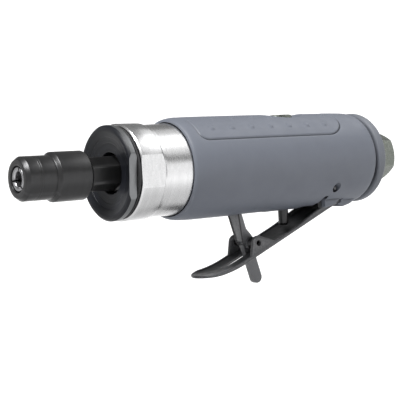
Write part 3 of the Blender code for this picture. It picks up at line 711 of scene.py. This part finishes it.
def make_clamp_nut():
    """The dished front cap: a black face with turned rings, and a brighter rim with two flats."""
    face, rear = CLAMP_FRONT, CLAMP_REAR
    corners = [
        (face, 15.9, 0.3), (face, 16.95, 0.1), (face + 0.75, 17.7, 0.15), (face + 2.7, 17.7, 0.15),
        (face + 3.2, 17.3, 0.15), (face + 3.2, 15.5, 0.1)]
    corners += thread_corners(face + 4.6, rear - 0.6, 15.3, 1.25, 0.6)
    corners += [
        (rear, 14.9, 0.1), (rear, 10.1, 0.1), (rear - 4.0, 10.1, 0.1), (rear - 4.0, 7.7, 0.2),
        (face + 1.9, 7.7, 0.3), (face + 1.8, 8.6, 0.6), (face + 1.5, 11.2, 0.5),
        (face + 1.4, 11.3, 0.2), (face + 0.95, 13.2, 0.2), (face + 0.8, 13.3, 0.2)]
    piece = turned("clamp_nut_fine", corners, LARGE)
    to_flat = 15.7
    for side in (0, 1):
        tool = box(f"flat_{side}", (face - 1, to_flat, -20), (face + 3.4, 20, 20))
        cut(piece, turn_about(tool, NUT_TURN + math.pi * side))

    def on_rim(patch):
        middle = patch.center / MM
        far_out = math.hypot(middle.y, middle.z) > to_flat - 0.1
        return abs(patch.normal.x) < 0.5 and far_out and middle.x < face + 3.1

    two_tone(piece, LOOKS["clamp_black"], CLAMP_SIDE, on_rim)
    place_piece(smooth(piece, 28.0), "clamp_nut")


def lever_slots(name):
    """Cutters for the lever's slot: narrow in front, wide at the pin, with notched sides."""
    narrow = [(15.5, -30.0), (15.5, -16.4), (17.0, -14.4), (23.0, -14.4), (23.0, -30.0)]
    wide = [(21.9, -30.0), (21.9, -8.9), (22.4, -8.3), (31.4, -8.3), (33.2, -10.6), (36.8, -14.4),
            (38.0, -17.0), (38.0, -30.0)]
    notch = [(22.3, -30.0), (22.5, -16.2), (23.2, -15.3), (25.0, -15.3), (25.0, -30.0)]
    return [prism(f"{name}_narrow", narrow, -6.3, 6.3),
            prism(f"{name}_wide", wide, -SLOT_HALF_WIDTH, SLOT_HALF_WIDTH),
            prism(f"{name}_notch", notch, -13.0, 13.0)]


def lock_pocket(name):
    """A cutter for the pocket that the lock's strut reaches into."""
    outline = [(-17.9, -20.9), (-17.3, -18.4), (-14.2, -17.1), (-11.2, -15.8), (-8.4, -15.5),
               (-5.8, -15.7), (-3.6, -16.7), (-0.9, -19.7), (-0.9, -22.0), (-17.9, -22.0)]
    return prism(name, outline, -4.1, 4.1)


def make_motor_housing():
    """The casing: a ring with two flats in front, and the motor, valve and air bores inside."""
    front, rear = CASE_FRONT, CASE_REAR
    motor_bore = 14.6
    corners = [
        (front, 15.75, 0.2), (front, 17.55, 0.1), (front + 0.55, RING_RADIUS, 0.15),
        (RING_REAR - 0.75, RING_RADIUS, 0.2), (RING_REAR, 17.45, 0.25), (RING_REAR + 1.5, 17.4, 0.5),
        (GRIP_FRONT - 2.5, 17.62, 1.0), (GRIP_FRONT + 1.4, 17.85, 0.1), (GRIP_FRONT + 1.6, 17.0, 0.1),
        (rear, 17.0, 0.4), (rear, 9.1, 0.2), (42.4, 9.1, 0.1), (42.4, 7.7, 0.1), (32.2, 7.7, 0.1),
        (32.2, 4.0, 0.1), (VALVE_X, 4.0), (VALVE_X, 0.0)]
    corners += [(-8.0, 0.0), (-8.0, motor_bore), (-65.3, motor_bore, 0.1), (-65.3, 15.6, 0.1)]
    outer = turned("motor_housing_fine", corners, LARGE)
    cut(outer, *lever_slots("case_slot"), lock_pocket("case_pocket"),
        rod("pin_bore", -22, 22, 1.6, LITTLE, *PIN_AXIS),
        rod("valve_bore", -12.4, 20.0, 4.6, LITTLE, *VALVE_AXIS),
        rod("regulator_seat", 16.2, 20.0, 6.0, LITTLE, *VALVE_AXIS),
        rod("plunger_bore", -20.0, -12.0, 2.75, LITTLE, *VALVE_AXIS),
        rod("feed_port", -9.0, VALVE_X, 1.6, LITTLE, "X", (0, 0, -10.4)))
    for side in (-1, 1):
        low, high = sorted((RING_FLAT * side, 20.0 * side))
        flat = box(f"case_flat_{side}", (front - 1, low, -20), (RING_REAR + 0.35, high, 20))
        drilling = rod(f"exhaust_drilling_{side}", -50.0, rear + 1, 1.9, 24, "X",
                       (0, 8.9 * side, 10.6))
        cut(outer, bevel_end(flat), drilling)
    place_piece(smooth(outer, 15.0), "motor_housing")


def bevel_end(tool):
    """Slope the rear face of a flat's cutter, so that the flat runs out gently."""
    rear = max(vertex.co.x for vertex in tool.data.vertices)
    far = max(abs(vertex.co.y) for vertex in tool.data.vertices)
    for vertex in tool.data.vertices:
        if vertex.co.x > rear - MM and abs(vertex.co.y) > far - MM:
            vertex.co.x += 2.0 * MM
    return tool


def make_ring(node, inner, outer, inner_ease, outer_ease, sides=MIDDLE):
    """A flat ring as long as its CAD node."""
    low, high = span(node)
    corners = [(low, inner, inner_ease), (low, outer, outer_ease), (high, outer, outer_ease),
               (high, inner, inner_ease)]
    place_turned(node, corners, sides)


# ---- grip

PANEL_FRONT, PANEL_REAR = -43.5, 34.7   # the outline pressed into the top of the grip
PANEL_HALF_ARC = math.radians(58.5)
PANEL_FRONT_CORNER, PANEL_REAR_CORNER = 3.8, 11.0
GROOVE_DEPTH, GROOVE_HALF_WIDTH = 0.55, 0.33
BUMP_RADIUS, BUMP_HEIGHT, BUMP_PITCH = 1.4, 0.52, 9.97
BUMP_ROWS = ((22.5, -31.2),
             (42.5, -35.9))     # angle from the top in degrees, place of the first bump
BUMPS_IN_ROW = 7
WINDOW_HALF_WIDTH, WINDOW_HALF_STRAIGHT = 7.5, 0.8


def spaced(breaks):
    """Stations from (place, spacing to the next) pairs; the last spacing isn't used."""
    stations = []
    for (start, step), (end, _) in zip(breaks, breaks[1:]):
        count = max(1, round((end - start) / step))
        stations.extend(start + (end - start) * k / count for k in range(count))
    stations.append(breaks[-1][0])
    return np.array(stations)


def grip_outline(x):
    """Radius of the grip along X: a rounded front lip, a slight crown and a small fall at the rear."""
    from_front = x - GRIP_FRONT
    from_rear = GRIP_REAR - x
    lip = 0.65 * np.exp(-from_front / 0.35) + 1.0 * np.exp(-from_front / 2.6)
    fall = 1.15 * np.exp(-from_rear / 0.6) + 0.35 * np.exp(-from_rear / 5.0)
    crown = 0.15 * (1 - (x / GRIP_REAR) ** 2)
    return GRIP_RADIUS + crown - lip - fall


def panel_distance(x, across):
    """Signed distance to the panel's rounded outline, in the unrolled surface."""
    centre, half_length = (PANEL_FRONT + PANEL_REAR) / 2, (PANEL_REAR - PANEL_FRONT) / 2
    half_width = PANEL_HALF_ARC * GRIP_RADIUS
    corner = np.where(x < centre, PANEL_FRONT_CORNER, PANEL_REAR_CORNER)
    qx = np.abs(x - centre) - half_length + corner
    qy = np.abs(across) - half_width + corner
    outside = np.hypot(np.maximum(qx, 0), np.maximum(qy, 0))
    return np.minimum(np.maximum(qx, qy), 0) + outside - corner


def grip_relief(x, angle):
    """Height of the grip's groove and bumps over its plain surface."""
    across = angle * GRIP_RADIUS
    distance = panel_distance(x, across)
    height = -GROOVE_DEPTH * np.exp(-(distance / GROOVE_HALF_WIDTH) ** 2)
    height -= 0.10 / (1 + np.exp(distance / 0.12))
    for degrees, first in BUMP_ROWS:
        place = math.radians(degrees) * GRIP_RADIUS
        for number in range(BUMPS_IN_ROW):
            along = first + BUMP_PITCH * number
            if degrees < 30 and abs(along - VALVE_X) < WINDOW_HALF_WIDTH + 4.0:
                continue
            away = np.hypot(x - along, np.abs(across) - place) / BUMP_RADIUS
            height += BUMP_HEIGHT * np.clip(1 - away ** 2, 0, None) ** 1.5
    return height


def sleeve_blank():
    """The sleeve's skin as a fine grid over a plain bore."""
    along = spaced([(GRIP_FRONT, 0.12), (GRIP_FRONT + 1.2, 0.5), (-45.1, 0.3),
                    (PANEL_REAR + 1.5, 0.8), (GRIP_REAR - 1.2, 0.15), (GRIP_REAR, 0)])
    degree = 180 / (math.pi * GRIP_RADIUS)      # one millimetre round the grip
    half = spaced([(0, 1.0 * degree), (17, 0.3 * degree), (63, 1.6 * degree), (180, 0)])
    angles = np.radians(np.concatenate([-half[:0:-1], half[:-1]]))
    x, angle = np.meshgrid(along, angles, indexing="ij")
    radius = grip_outline(x) + grip_relief(x, angle)
    outer = np.stack([x, radius * np.sin(angle), radius * np.cos(angle)], axis=-1)
    rows, columns = x.shape
    points = [tuple(p) for p in outer.reshape(-1, 3)]
    faces = []
    for row in range(rows - 1):
        faces += band(row * columns, (row + 1) * columns, columns)
    bore = [(GRIP_FRONT, 18.15), (GRIP_FRONT + 1.9, 18.15), (GRIP_FRONT + 1.9, GRIP_BORE),
            (GRIP_REAR, GRIP_BORE)]
    first = len(points)
    for place, size in bore:
        points.extend((place, size * math.sin(a), size * math.cos(a)) for a in angles)
    loops = [0] + [first + k * columns for k in range(len(bore))] + [(rows - 1) * columns]
    for near, far in zip(loops, loops[1:]):
        faces += band(near, far, columns)
    return add_mesh("grip_sleeve_fine", points, faces)


def stadium(grow):
    """The window's outline seen from above, grown all round."""
    half = WINDOW_HALF_WIDTH + grow
    return (arc((VALVE_X + WINDOW_HALF_STRAIGHT, 0), half, -90, 90, 20)
            + arc((VALVE_X - WINDOW_HALF_STRAIGHT, 0), half, 90, 270, 20))


def window_cutter():
    """The window's cutter, which widens towards the outside so that the rim is rounded."""
    levels = [(10.0, 0.0), (17.2, 0.0), (17.8, 0.3), (18.3, 0.9), (18.9, 1.8), (19.5, 2.8),
              (20.3, 4.0), (25.0, 4.4)]
    return loft("window", [[(a, b, level) for a, b in stadium(grow)] for level, grow in levels])


def lever_boss():
    """The lever's cheeks under the rear of the grip, and the belly behind them."""
    cheeks = [(24.9, -10.0), (25.0, -20.1, 0.5), (26.0, -20.2, 0.9), (31.3, -19.1, 1.2),
              (33.7, -17.4, 1.2), (36.0, -16.7, 0.5), (36.6, -10.0)]
    belly = [(34.4, -10.0), (34.4, -19.0, 1.0), (35.4, -20.4, 1.2), (38.4, -20.7, 2.0),
             (42.3, -19.9, 3.0), (45.9, -18.3, 2.0), (46.3, -14.0, 1.0), (46.0, -10.0)]
    return (bevelled(prism("cheeks", eased(cheeks), -10.6, 10.6), 0.5, 3, 50.0),
            bevelled(prism("belly", eased(belly), -8.9, 8.9), 1.7, 5, 50.0))


def flared_hole(name, reach, radius, axis, centre):
    """A cutter for a cross hole whose mouths are rounded where they meet the grip."""
    mouth = radius + 0.3
    corners = [(-reach - 3, 0.0), (-reach - 3, mouth), (-reach - 0.2, mouth),
               (-reach + 0.6, radius, 0.4), (reach - 0.6, radius, 0.4), (reach + 0.2, mouth),
               (reach + 3, mouth), (reach + 3, 0.0)]
    return turned(name, corners, LITTLE, axis, centre, closed=False)


def make_grip_sleeve():
    sleeve = sleeve_blank()
    join(sleeve, *lever_boss())
    scoops = [rod(f"scoop_{side}", *sorted((side * 8.0, side * 13.0)), 1.15, 24, "Y",
                  (35.3, 0, -17.9)) for side in (-1, 1)]
    bore = rod("bore", GRIP_FRONT + 2.5, GRIP_REAR + 1, GRIP_BORE, LARGE)
    cut(sleeve, bore, *lever_slots("sleeve_slot"), lock_pocket("sleeve_pocket"),
        flared_hole("pin_hole", 15.95, 1.85, *PIN_AXIS), window_cutter(),
        rod("plunger_hole", -25.0, -12.0, 3.0, LITTLE, *VALVE_AXIS), *scoops)
    place_piece(smooth(sleeve, 38.0), "grip_sleeve")


def make_exhaust_cap():
    """The ring behind the grip, with a sleeve that runs forward inside it."""
    front, rear = CAP_FRONT + 5.6, CAP_REAR
    corners = [
        (front + 0.85, 17.5, 0.15), (front + 0.85, 18.6, 0.15), (front + 1.3, 19.45, 0.4),
        (rear - 1.6, 19.6, 0.9), (rear - 0.3, 18.6, 0.7), (rear, 17.0, 0.6), (rear, 12.6, 0.15),
        (rear - 0.35, 12.3, 0.15), (rear - 0.35, 7.9, 0.15), (CAP_FRONT, 7.9, 0.15),
        (CAP_FRONT, 9.2, 0.2), (front + 1.5, 9.2, 0.3), (front + 1.5, 17.5, 0.3)]
    place_turned("exhaust_cap", corners, LARGE)


def make_muffler():
    low, high = span("exhaust_muffler")
    corners = [(low, 9.5, 0.3), (low, 16.9, 0.5), (high, 16.9, 0.8), (high, 9.5, 0.3)]
    place_turned("exhaust_muffler", corners)


# ---- air inlet


def make_inlet_bushing():
    """The inlet's hexagon and threaded neck, with a tapered thread inside."""
    front, rear = HEX_FRONT, INLET_REAR
    piece = prism("inlet_bushing_fine", polygon(10.0, 6, -INLET_TURN), front, rear, "X")
    limits = [(front, 0.0), (front, 10.3), (front + 0.9, 11.52), (rear - 1.7, 11.52), (rear, 9.5),
              (rear, 0.0)]
    combine(piece, "INTERSECT", turned("hex_limits", limits, LARGE, closed=False))
    neck = [(INLET_FRONT, 0.0), (INLET_FRONT, 6.6, 0.3)]
    neck += thread_corners(INLET_FRONT + 0.5, INLET_FRONT + 9.5, 7.4, 1.27, 0.55)
    neck += [(INLET_FRONT + 10.6, 7.0, 0.2), (front - 1.0, 7.4, 0.2), (front + 0.4, 7.4),
             (front + 0.4, 0.0)]
    join(piece, turned("neck", neck, MIDDLE, closed=False))
    bore = [(INLET_FRONT - 1, 0.0), (INLET_FRONT - 1, 3.9), (INLET_FRONT + 0.5, 3.5, 0.1),
            (56.3, 3.5), (56.3, 5.75, 0.1), (58.2, 5.75, 0.1)]
    taper_start, taper_end, pitch = 58.4, rear - 1.2, 1.41
    turns = int((taper_end - taper_start) / pitch)
    depth = 0.62
    for number in range(turns):
        base = taper_start + number * pitch
        size = 5.85 + 0.055 * number
        bore += [(base, size, 0.06), (base + 0.45 * pitch, size + depth, 0.05),
                 (base + 0.62 * pitch, size + depth, 0.05)]
    bore += [(rear - 1.1, 6.5, 0.1), (rear - 0.2, 7.25, 0.1), (rear + 0.5, 7.5), (rear + 0.5, 0.0)]
    cut(piece, turned("inlet_bore", bore, MIDDLE, closed=False))
    place_piece(smooth(piece, 25.0), "inlet_bushing")


def make_inlet_screen():
    low, high = span("inlet_screen")
    piece = rod("inlet_screen_fine", low, high, 5.5, LITTLE, ease=0.15)
    rings = [(0.0, 1, 0.0), (2.0, 6, 0.0), (3.9, 12, 15.0)]
    for radius, count, turn in rings:
        for number in range(count):
            angle = math.tau * number / count + math.radians(turn)
            y, z = radius * math.cos(angle), radius * math.sin(angle)
            cut(piece, rod(f"mesh_{count}_{number}", low - 1, high + 1, 0.55, 12, "X", (0, y, z)))
    place_piece(smooth(piece), "inlet_screen")


def ring_seal(node, major, minor, axis, centre, sides=MIDDLE):
    """An O-ring from its ring radius and its cord radius."""
    cord = [math.tau * k / 16 for k in range(16)]
    outline = [(minor * math.cos(a), major + minor * math.sin(a)) for a in cord]
    place_turned(node, outline, sides, axis, centre)


# ---- throttle


def soft_step(t):
    """Rise smoothly from 0 to 1."""
    t = min(max(t, 0.0), 1.0)
    return t * t * (3 - 2 * t)


def lever_sheet():
    """The lever's sheet in its own frame: a low-walled channel that ends in a turned-up spoon."""
    under, bend, curve_radius, floor_sheet = -LEVER_DROP, -51.5, 54.0, 1.0
    tip, end_radius = -71.8, LEVER_HALF_WIDTH
    stations = list(np.linspace(7.0, bend, 24))
    stations += [bend + (tip + end_radius - bend) * k / 8 for k in range(1, 8)]
    stations += [tip + end_radius * (1 - math.sin(math.pi / 2 * k / 16)) for k in range(17)]
    stations = sorted(set(round(u, 4) for u in stations), reverse=True)
    sections = []
    for u in stations:
        reach = max(0.0, bend - u)
        slope = reach / curve_radius
        past = max(0.0, (tip + end_radius) - u)
        half = math.sqrt(max(end_radius ** 2 - past ** 2, 0.9 ** 2))
        rim = 0.5 * (1 - soft_step(past / end_radius * 1.2)) + 1.1 * soft_step((u + 21.0) / 15.0)
        wall = min(1.25, half * 0.45)
        low = under + reach * slope / 2
        top = low + floor_sheet
        side = [(half - 0.7 * (1 - math.sin(a)), low + 0.6 * (1 - math.cos(a)))
                for a in (0.0, 0.5, 1.05, math.pi / 2)]
        side += [(half, top + rim - 0.3), (half - 0.3, top + rim), (half - wall + 0.2, top + rim),
                 (half - wall, top + rim - 0.15), (half - wall - 0.2, top + 0.3 * rim),
                 (max(half - wall - 1.0, 0.0), top)]
        loop = side + [(-a, b) for a, b in reversed(side)]
        sections.append([(u + slope * (w - low), y, w) for y, w in loop])
    return loft("throttle_lever_fine", sections)


def make_throttle_lever():
    """The lever's sheet with its slot for the lock and its two pairs of ears."""
    lever = lever_sheet()
    floor = -LEVER_DROP + 0.35
    rear_ear = ([(-6.6, floor), (-5.0, -7.4, 1.5), (-3.5, -2.0, 1.0)]
                + arc((0, 0), 3.4, 165, 15, 14)
                + [(3.6, -2.0, 1.0), (4.6, -7.6, 1.5), (6.6, floor)])
    front_ear = ([(-48.6, floor), (-47.8, -8.3, 1.0)]
                 + arc((LOCK_U, LOCK_W), 3.0, 150, 55, 10)
                 + [(-33.4, -8.3, 1.0), (-32.6, floor)])
    inner = LEVER_HALF_WIDTH - LEVER_SHEET
    slot_half = 1.35
    slot = arc((-57.6, 0), slot_half, 90, 270, 12) + arc((-41.0, 0), slot_half, -90, 90, 12)
    cut(lever, prism("lock_slot", slot, -12.0, -5.0, "Z"))
    ears = []
    for side in (-1, 1):
        low, high = sorted((side * inner, side * (LEVER_HALF_WIDTH - 0.01)))
        for name, outline, pin, hole in (("rear_ear", rear_ear, (0, 0, 0), 1.5),
                                         ("front_ear", front_ear, (LOCK_U, 0, LOCK_W), 1.25)):
            ear = bevelled(prism(f"{name}_{side}", eased(outline), low, high), 0.28, 2, 50.0)
            ears.append(cut(ear, rod("ear_hole", -9.0, 9.0, hole, LITTLE, "Y", pin)))
    merge(lever, *ears)
    at_pin = Matrix.Translation(Vector((PIN_X, 0, PIN_Z)) * MM)
    lever.data.transform(at_pin @ Matrix.Rotation(-LEVER_OPEN, 4, "Y"))
    place_piece(smooth(lever, 40.0), "throttle_lever")


def make_lever_pin():
    reach, waist, end, shank = 15.1, 11.0, 0.85, 1.4
    corners = [(-reach, 0.0), (-reach, end, 0.3), (-waist - 0.6, end, 0.1), (-waist, shank, 0.1),
               (waist, shank, 0.1), (waist + 0.6, end, 0.1), (reach, end, 0.3), (reach, 0.0)]
    place_turned("lever_pin", corners, LITTLE, *PIN_AXIS, False, LOOKS["spring_steel"])


def make_lock_pin():
    low, high = span("lock_pin", 1)
    corners = [(low, 0.87, 0.1), (low, 1.2, 0.15), (high, 1.2, 0.15), (high, 0.87, 0.1)]
    pin = turned("lock_pin_fine", corners, LITTLE, *LOCK_AXIS)
    cut(pin, box("split", (LOCK_X - 0.15, low - 1, LOCK_Z), (LOCK_X + 0.15, high + 1, LOCK_Z + 2)))
    place_piece(smooth(pin), "lock_pin")


def strut():
    """The lock's front web, wide at the top and narrow at the hub."""
    rows = [(LOCK_Z + 12.2, LOCK_X - 5.95, 3.55), (LOCK_Z + 0.6, LOCK_X - 3.4, 1.9)]
    sheet = 1.3
    points = [(x + push, side * half, z)
              for z, x, half in rows for push in (0.0, sheet) for side in (-1, 1)]
    faces = [(0, 1, 3, 2), (4, 6, 7, 5), (0, 2, 6, 4), (1, 5, 7, 3), (0, 4, 5, 1), (2, 3, 7, 6)]
    return bevelled(add_mesh("strut", points, faces), 0.22, 2)


def lock_cheek(side):
    """A side wall of the lock, folded back from the web and growing towards the hub."""
    rows = [(12.0, -6.1, -4.6, 3.8), (6.0, -4.8, -2.2, 3.1), (3.2, -4.2, 0.6, 2.75),
            (0.4, -3.5, 2.8, 2.4), (-1.7, -2.3, 2.2, 2.2)]
    sheet = 0.9
    loops = []
    for lift, ahead, behind, half in rows:
        corners = ((ahead, half - sheet), (ahead, half), (behind, half), (behind, half - sheet))
        loops.append([(LOCK_X + x, side * y, LOCK_Z + lift) for x, y in corners])
    cheek = bevelled(loft(f"lock_cheek_{side}", loops), 0.12, 2, 40.0)
    cut(cheek, rod("cheek_bore", -5.0, 5.0, HUB_BORE, LITTLE, *LOCK_AXIS))
    # Painted shade: the cheek's front edge, facing -X, gets the near-black seal rubber as a dark seam that stands
    # in for the shade at the bend between web and cheek.
    two_tone(cheek, LOCK_STEEL, LOOKS["seal_rubber"], lambda face: face.normal.x < -0.8)
    return cheek


def make_lock_lever():
    """The lock: a hub on its pin, a strut with side walls above it and a finger tab below."""
    px, pz = LOCK_X, LOCK_Z
    hub = rod("lock_lever_fine", -2.9, 2.9, 2.4, LITTLE, *LOCK_AXIS, 0.25)
    two_tone(hub, LOCK_STEEL, LOOKS["seal_rubber"], lambda face: False)
    cut(hub, rod("lock_bore", -4.0, 4.0, HUB_BORE, LITTLE, *LOCK_AXIS))
    half, lean, length = 2.45, math.radians(17.4), 15.3
    centre = (px - 0.6 + length * math.sin(lean), pz - length * math.cos(lean))
    across = (half * math.cos(lean), half * math.sin(lean))
    tab = ([(px - 0.6 - across[0], pz - across[1])]
           + arc(centre, half, -180 + math.degrees(lean), math.degrees(lean), 20)
           + [(px - 0.6 + across[0], pz + across[1])])
    tab_piece = bevelled(prism("tab", tab, -1.25, 1.25), 0.3, 3, 50.0)
    merge(hub, tab_piece, strut(), lock_cheek(-1), lock_cheek(1))
    place_piece(smooth(hub, 35.0), "lock_lever", LOCK_STEEL)


def make_lock_spring():
    """A torsion spring on the lock pin, its wire swept along a helix."""
    radius, wire, turns, length, start = 2.05, 0.38, 3.25, 2.75, -5.85
    steps, sides = int(turns * 40), 12
    pin_direction = Vector((0, 1, 0))
    path = []
    for step in range(steps + 1):
        t = step / steps
        angle = math.tau * turns * t
        around = Vector((radius * math.cos(angle), length * t, radius * math.sin(angle)))
        path.append(around + Vector((LOCK_X, start, LOCK_Z)))
    loops = []
    for index, place in enumerate(path):
        tangent = (path[min(index + 1, steps)] - path[max(index - 1, 0)]).normalized()
        side = tangent.cross(pin_direction).normalized()
        up = side.cross(tangent)
        turned_by = [math.tau * k / sides for k in range(sides)]
        loops.append([tuple(place + side * wire * math.cos(a) + up * wire * math.sin(a))
                      for a in turned_by])
    place_piece(smooth(loft("lock_spring_fine", loops), 50.0), "lock_spring")


def make_plunger():
    foot, body, tip = PLUNGER_FOOT - 0.45, 2.6, 2.15
    top = span("throttle_plunger", 2)[1]
    corners = [(foot, 0.0), (foot, tip - 0.8, 0.3), (foot + 0.9, tip, 0.4), (-18.8, tip, 0.1),
               (-18.6, body, 0.1), (-17.6, body, 0.1), (-17.6, 2.0, 0.1), (-16.4, 2.0, 0.1),
               (-16.4, body, 0.1), (-13.0, body, 0.1), (-12.9, 1.4, 0.1), (top, 1.4, 0.1), (top, 0.0)]
    place_turned("throttle_plunger", corners, LITTLE, *VALVE_AXIS, False, LOOKS["black_oxide"])


def make_valve():
    corners = [(-6.5, 0.0), (-6.5, 3.2, 0.2), (-6.0, 3.7, 0.2), (-4.7, 3.7, 0.2), (-4.7, 1.3, 0.2),
               (1.5, 1.3, 0.2), (1.8, 0.9, 0.1), (1.8, 0.0)]
    place_turned("throttle_valve", corners, LITTLE, *VALVE_AXIS, False)
    seat = [(-9.4, 2.4, 0.1), (-9.4, 4.4, 0.2), (-6.8, 4.4, 0.2), (-6.8, 3.2, 0.1), (-7.4, 2.4, 0.1)]
    place_turned("valve_seat", seat, LITTLE, *VALVE_AXIS)


def make_regulator():
    top = 19.7                     # nearly flush with the top of the grip
    corners = [(6.5, 0.0), (6.5, 4.1, 0.2), (6.9, 4.3, 0.1), (12.4, 4.3, 0.1), (12.4, 3.55, 0.1),
               (13.6, 3.55, 0.1), (13.6, 4.3, 0.1), (16.5, 4.3, 0.1), (16.5, 5.9, 0.2),
               (top - 0.4, 5.9, 0.3), (top, 5.1, 0.2), (top, 0.0)]
    screw = turned("power_regulator_fine", corners, MIDDLE, *VALVE_AXIS, False)
    cut(screw, box("slot", (VALVE_X - 7, -0.7, top - 1.3), (VALVE_X + 7, 0.7, top + 1)))
    place_piece(smooth(screw), "power_regulator")


# ---- stage


def make_floor():
    """A pale sweep: a floor that curves up into a back wall all round."""
    reach, wall, bend = 2600.0, 700.0, 700.0
    corners = [(-FLOOR_DROP, 0.0), (-FLOOR_DROP, reach - bend)]
    for step in range(1, 13):
        angle = math.pi / 2 * step / 12
        corners.append((-FLOOR_DROP + bend * (1 - math.cos(angle)),
                        reach - bend + bend * math.sin(angle)))
    corners.append((wall, reach))
    count = len(corners)
    sides = 96
    points = axis_points(corners, sides, "Z", (0, 0, 0))
    faces = []
    for step in range(sides):
        faces += band(step * count, ((step + 1) % sides) * count, count, closed=False)
    floor = add_mesh("floor", points, faces)
    floor.data.shade_smooth()
    look = Shader("pale_floor", (0.52, 0.52, 0.52), 0.9, Emission_Color=(1.0, 1.0, 1.0, 1.0))
    look.cloud(180.0, 2.0, (0.50, 0.50, 0.505), 0.5)
    # Painted light: the floor glows, not at all within 0.28 m of the tool and fully from 0.75 m out, which leaves
    # a painted shadow round the tool; towards the -X side the glow falls to about a third.
    distance = look.nodes.new("ShaderNodeVectorMath")
    distance.operation = "LENGTH"
    look.link(look.place, distance.inputs[0])
    glow = look.fade(distance.outputs["Value"], 0.28, 0.75, 0.0, 0.86)
    side = look.nodes.new("ShaderNodeSeparateXYZ")
    look.link(look.place, side.inputs[0])
    share = look.fade(side.outputs["X"], -0.9, 0.1, 0.35, 1.0)
    look.link(look.math("MULTIPLY", glow, share), look.principled.inputs["Emission Strength"])
    floor.data.materials.append(look.material)


def softbox(name, place, width, height, power):
    """A white rectangular area light at a place in metres that faces the tool."""
    light = bpy.data.lights.new(name, "AREA")
    light.shape = "RECTANGLE"
    light.size = width
    light.size_y = height
    light.energy = power
    lamp = bpy.data.objects.new(name, light)
    lamp.location = place
    lamp.rotation_euler = (-Vector(place)).to_track_quat("-Z", "Y").to_euler()
    bpy.context.scene.collection.objects.link(lamp)


def make_lights():
    world = bpy.data.worlds.new("studio")
    world.use_nodes = True
    background = world.node_tree.nodes["Background"]
    background.inputs["Color"].default_value = (1.0, 1.0, 1.0, 1.0)
    background.inputs["Strength"].default_value = 0.22
    bpy.context.scene.world = world
    softbox("key", (-0.70, -0.32, 1.25), 0.7, 0.7, 38.0)
    softbox("strip", (0.98, -0.28, 1.10), 2.0, 0.8, 5.0)
    softbox("accent", (0.88, -0.28, 1.08), 0.75, 0.5, 2.0)


def make_camera():
    """The camera stands ahead of the collet on the -Y side, level with the tool, and leans."""
    place = Vector((-261.955, -297.289, 2.923)) * MM
    azimuth, fall, roll = math.radians(37.573), math.radians(2.397), math.radians(-3.386)
    level_part = math.cos(fall)
    forward = Vector((math.sin(azimuth) * level_part, math.cos(azimuth) * level_part, -math.sin(fall)))
    level = forward.cross(Vector((0, 0, 1))).normalized()
    upright = level.cross(forward)
    right = level * math.cos(roll) + upright * math.sin(roll)
    up = upright * math.cos(roll) - level * math.sin(roll)
    data = bpy.data.cameras.new("camera")
    data.lens = 85.87
    data.sensor_width = 36.0
    data.clip_start = 0.02
    camera = bpy.data.objects.new("camera", data)
    turn = Matrix((right, up, -forward)).transposed().to_4x4()
    camera.matrix_world = Matrix.Translation(place) @ turn
    bpy.context.scene.collection.objects.link(camera)
    bpy.context.scene.camera = camera


def main():
    make_camera()
    dress_frame()
    make_collet_nut()
    make_collet()
    make_collet_body()
    make_clamp_nut()
    make_motor_housing()
    make_ring("front_gasket", 15.6, 17.35, 0.15, 0.3, LARGE)
    make_ring("spindle_seal", 7.2, 9.8, 0.3, 0.4)
    make_grip_sleeve()
    make_exhaust_cap()
    make_muffler()
    make_inlet_bushing()
    make_inlet_screen()
    make_throttle_lever()
    make_lever_pin()
    make_lock_pin()
    make_lock_lever()
    make_lock_spring()
    make_plunger()
    make_valve()
    make_regulator()
    ring_seal("inlet_o_ring", 8.3, 0.55, "X", (43.3, 0, 0))
    ring_seal("plunger_o_ring", 2.38, 0.3, "Z", (VALVE_X, 0, -17.0), LITTLE)
    ring_seal("regulator_o_ring", 4.02, 0.42, "Z", (VALVE_X, 0, 13.0), LITTLE)
    make_floor()
    make_lights()
    bpy.context.scene.view_settings.view_transform = "Standard"


main()
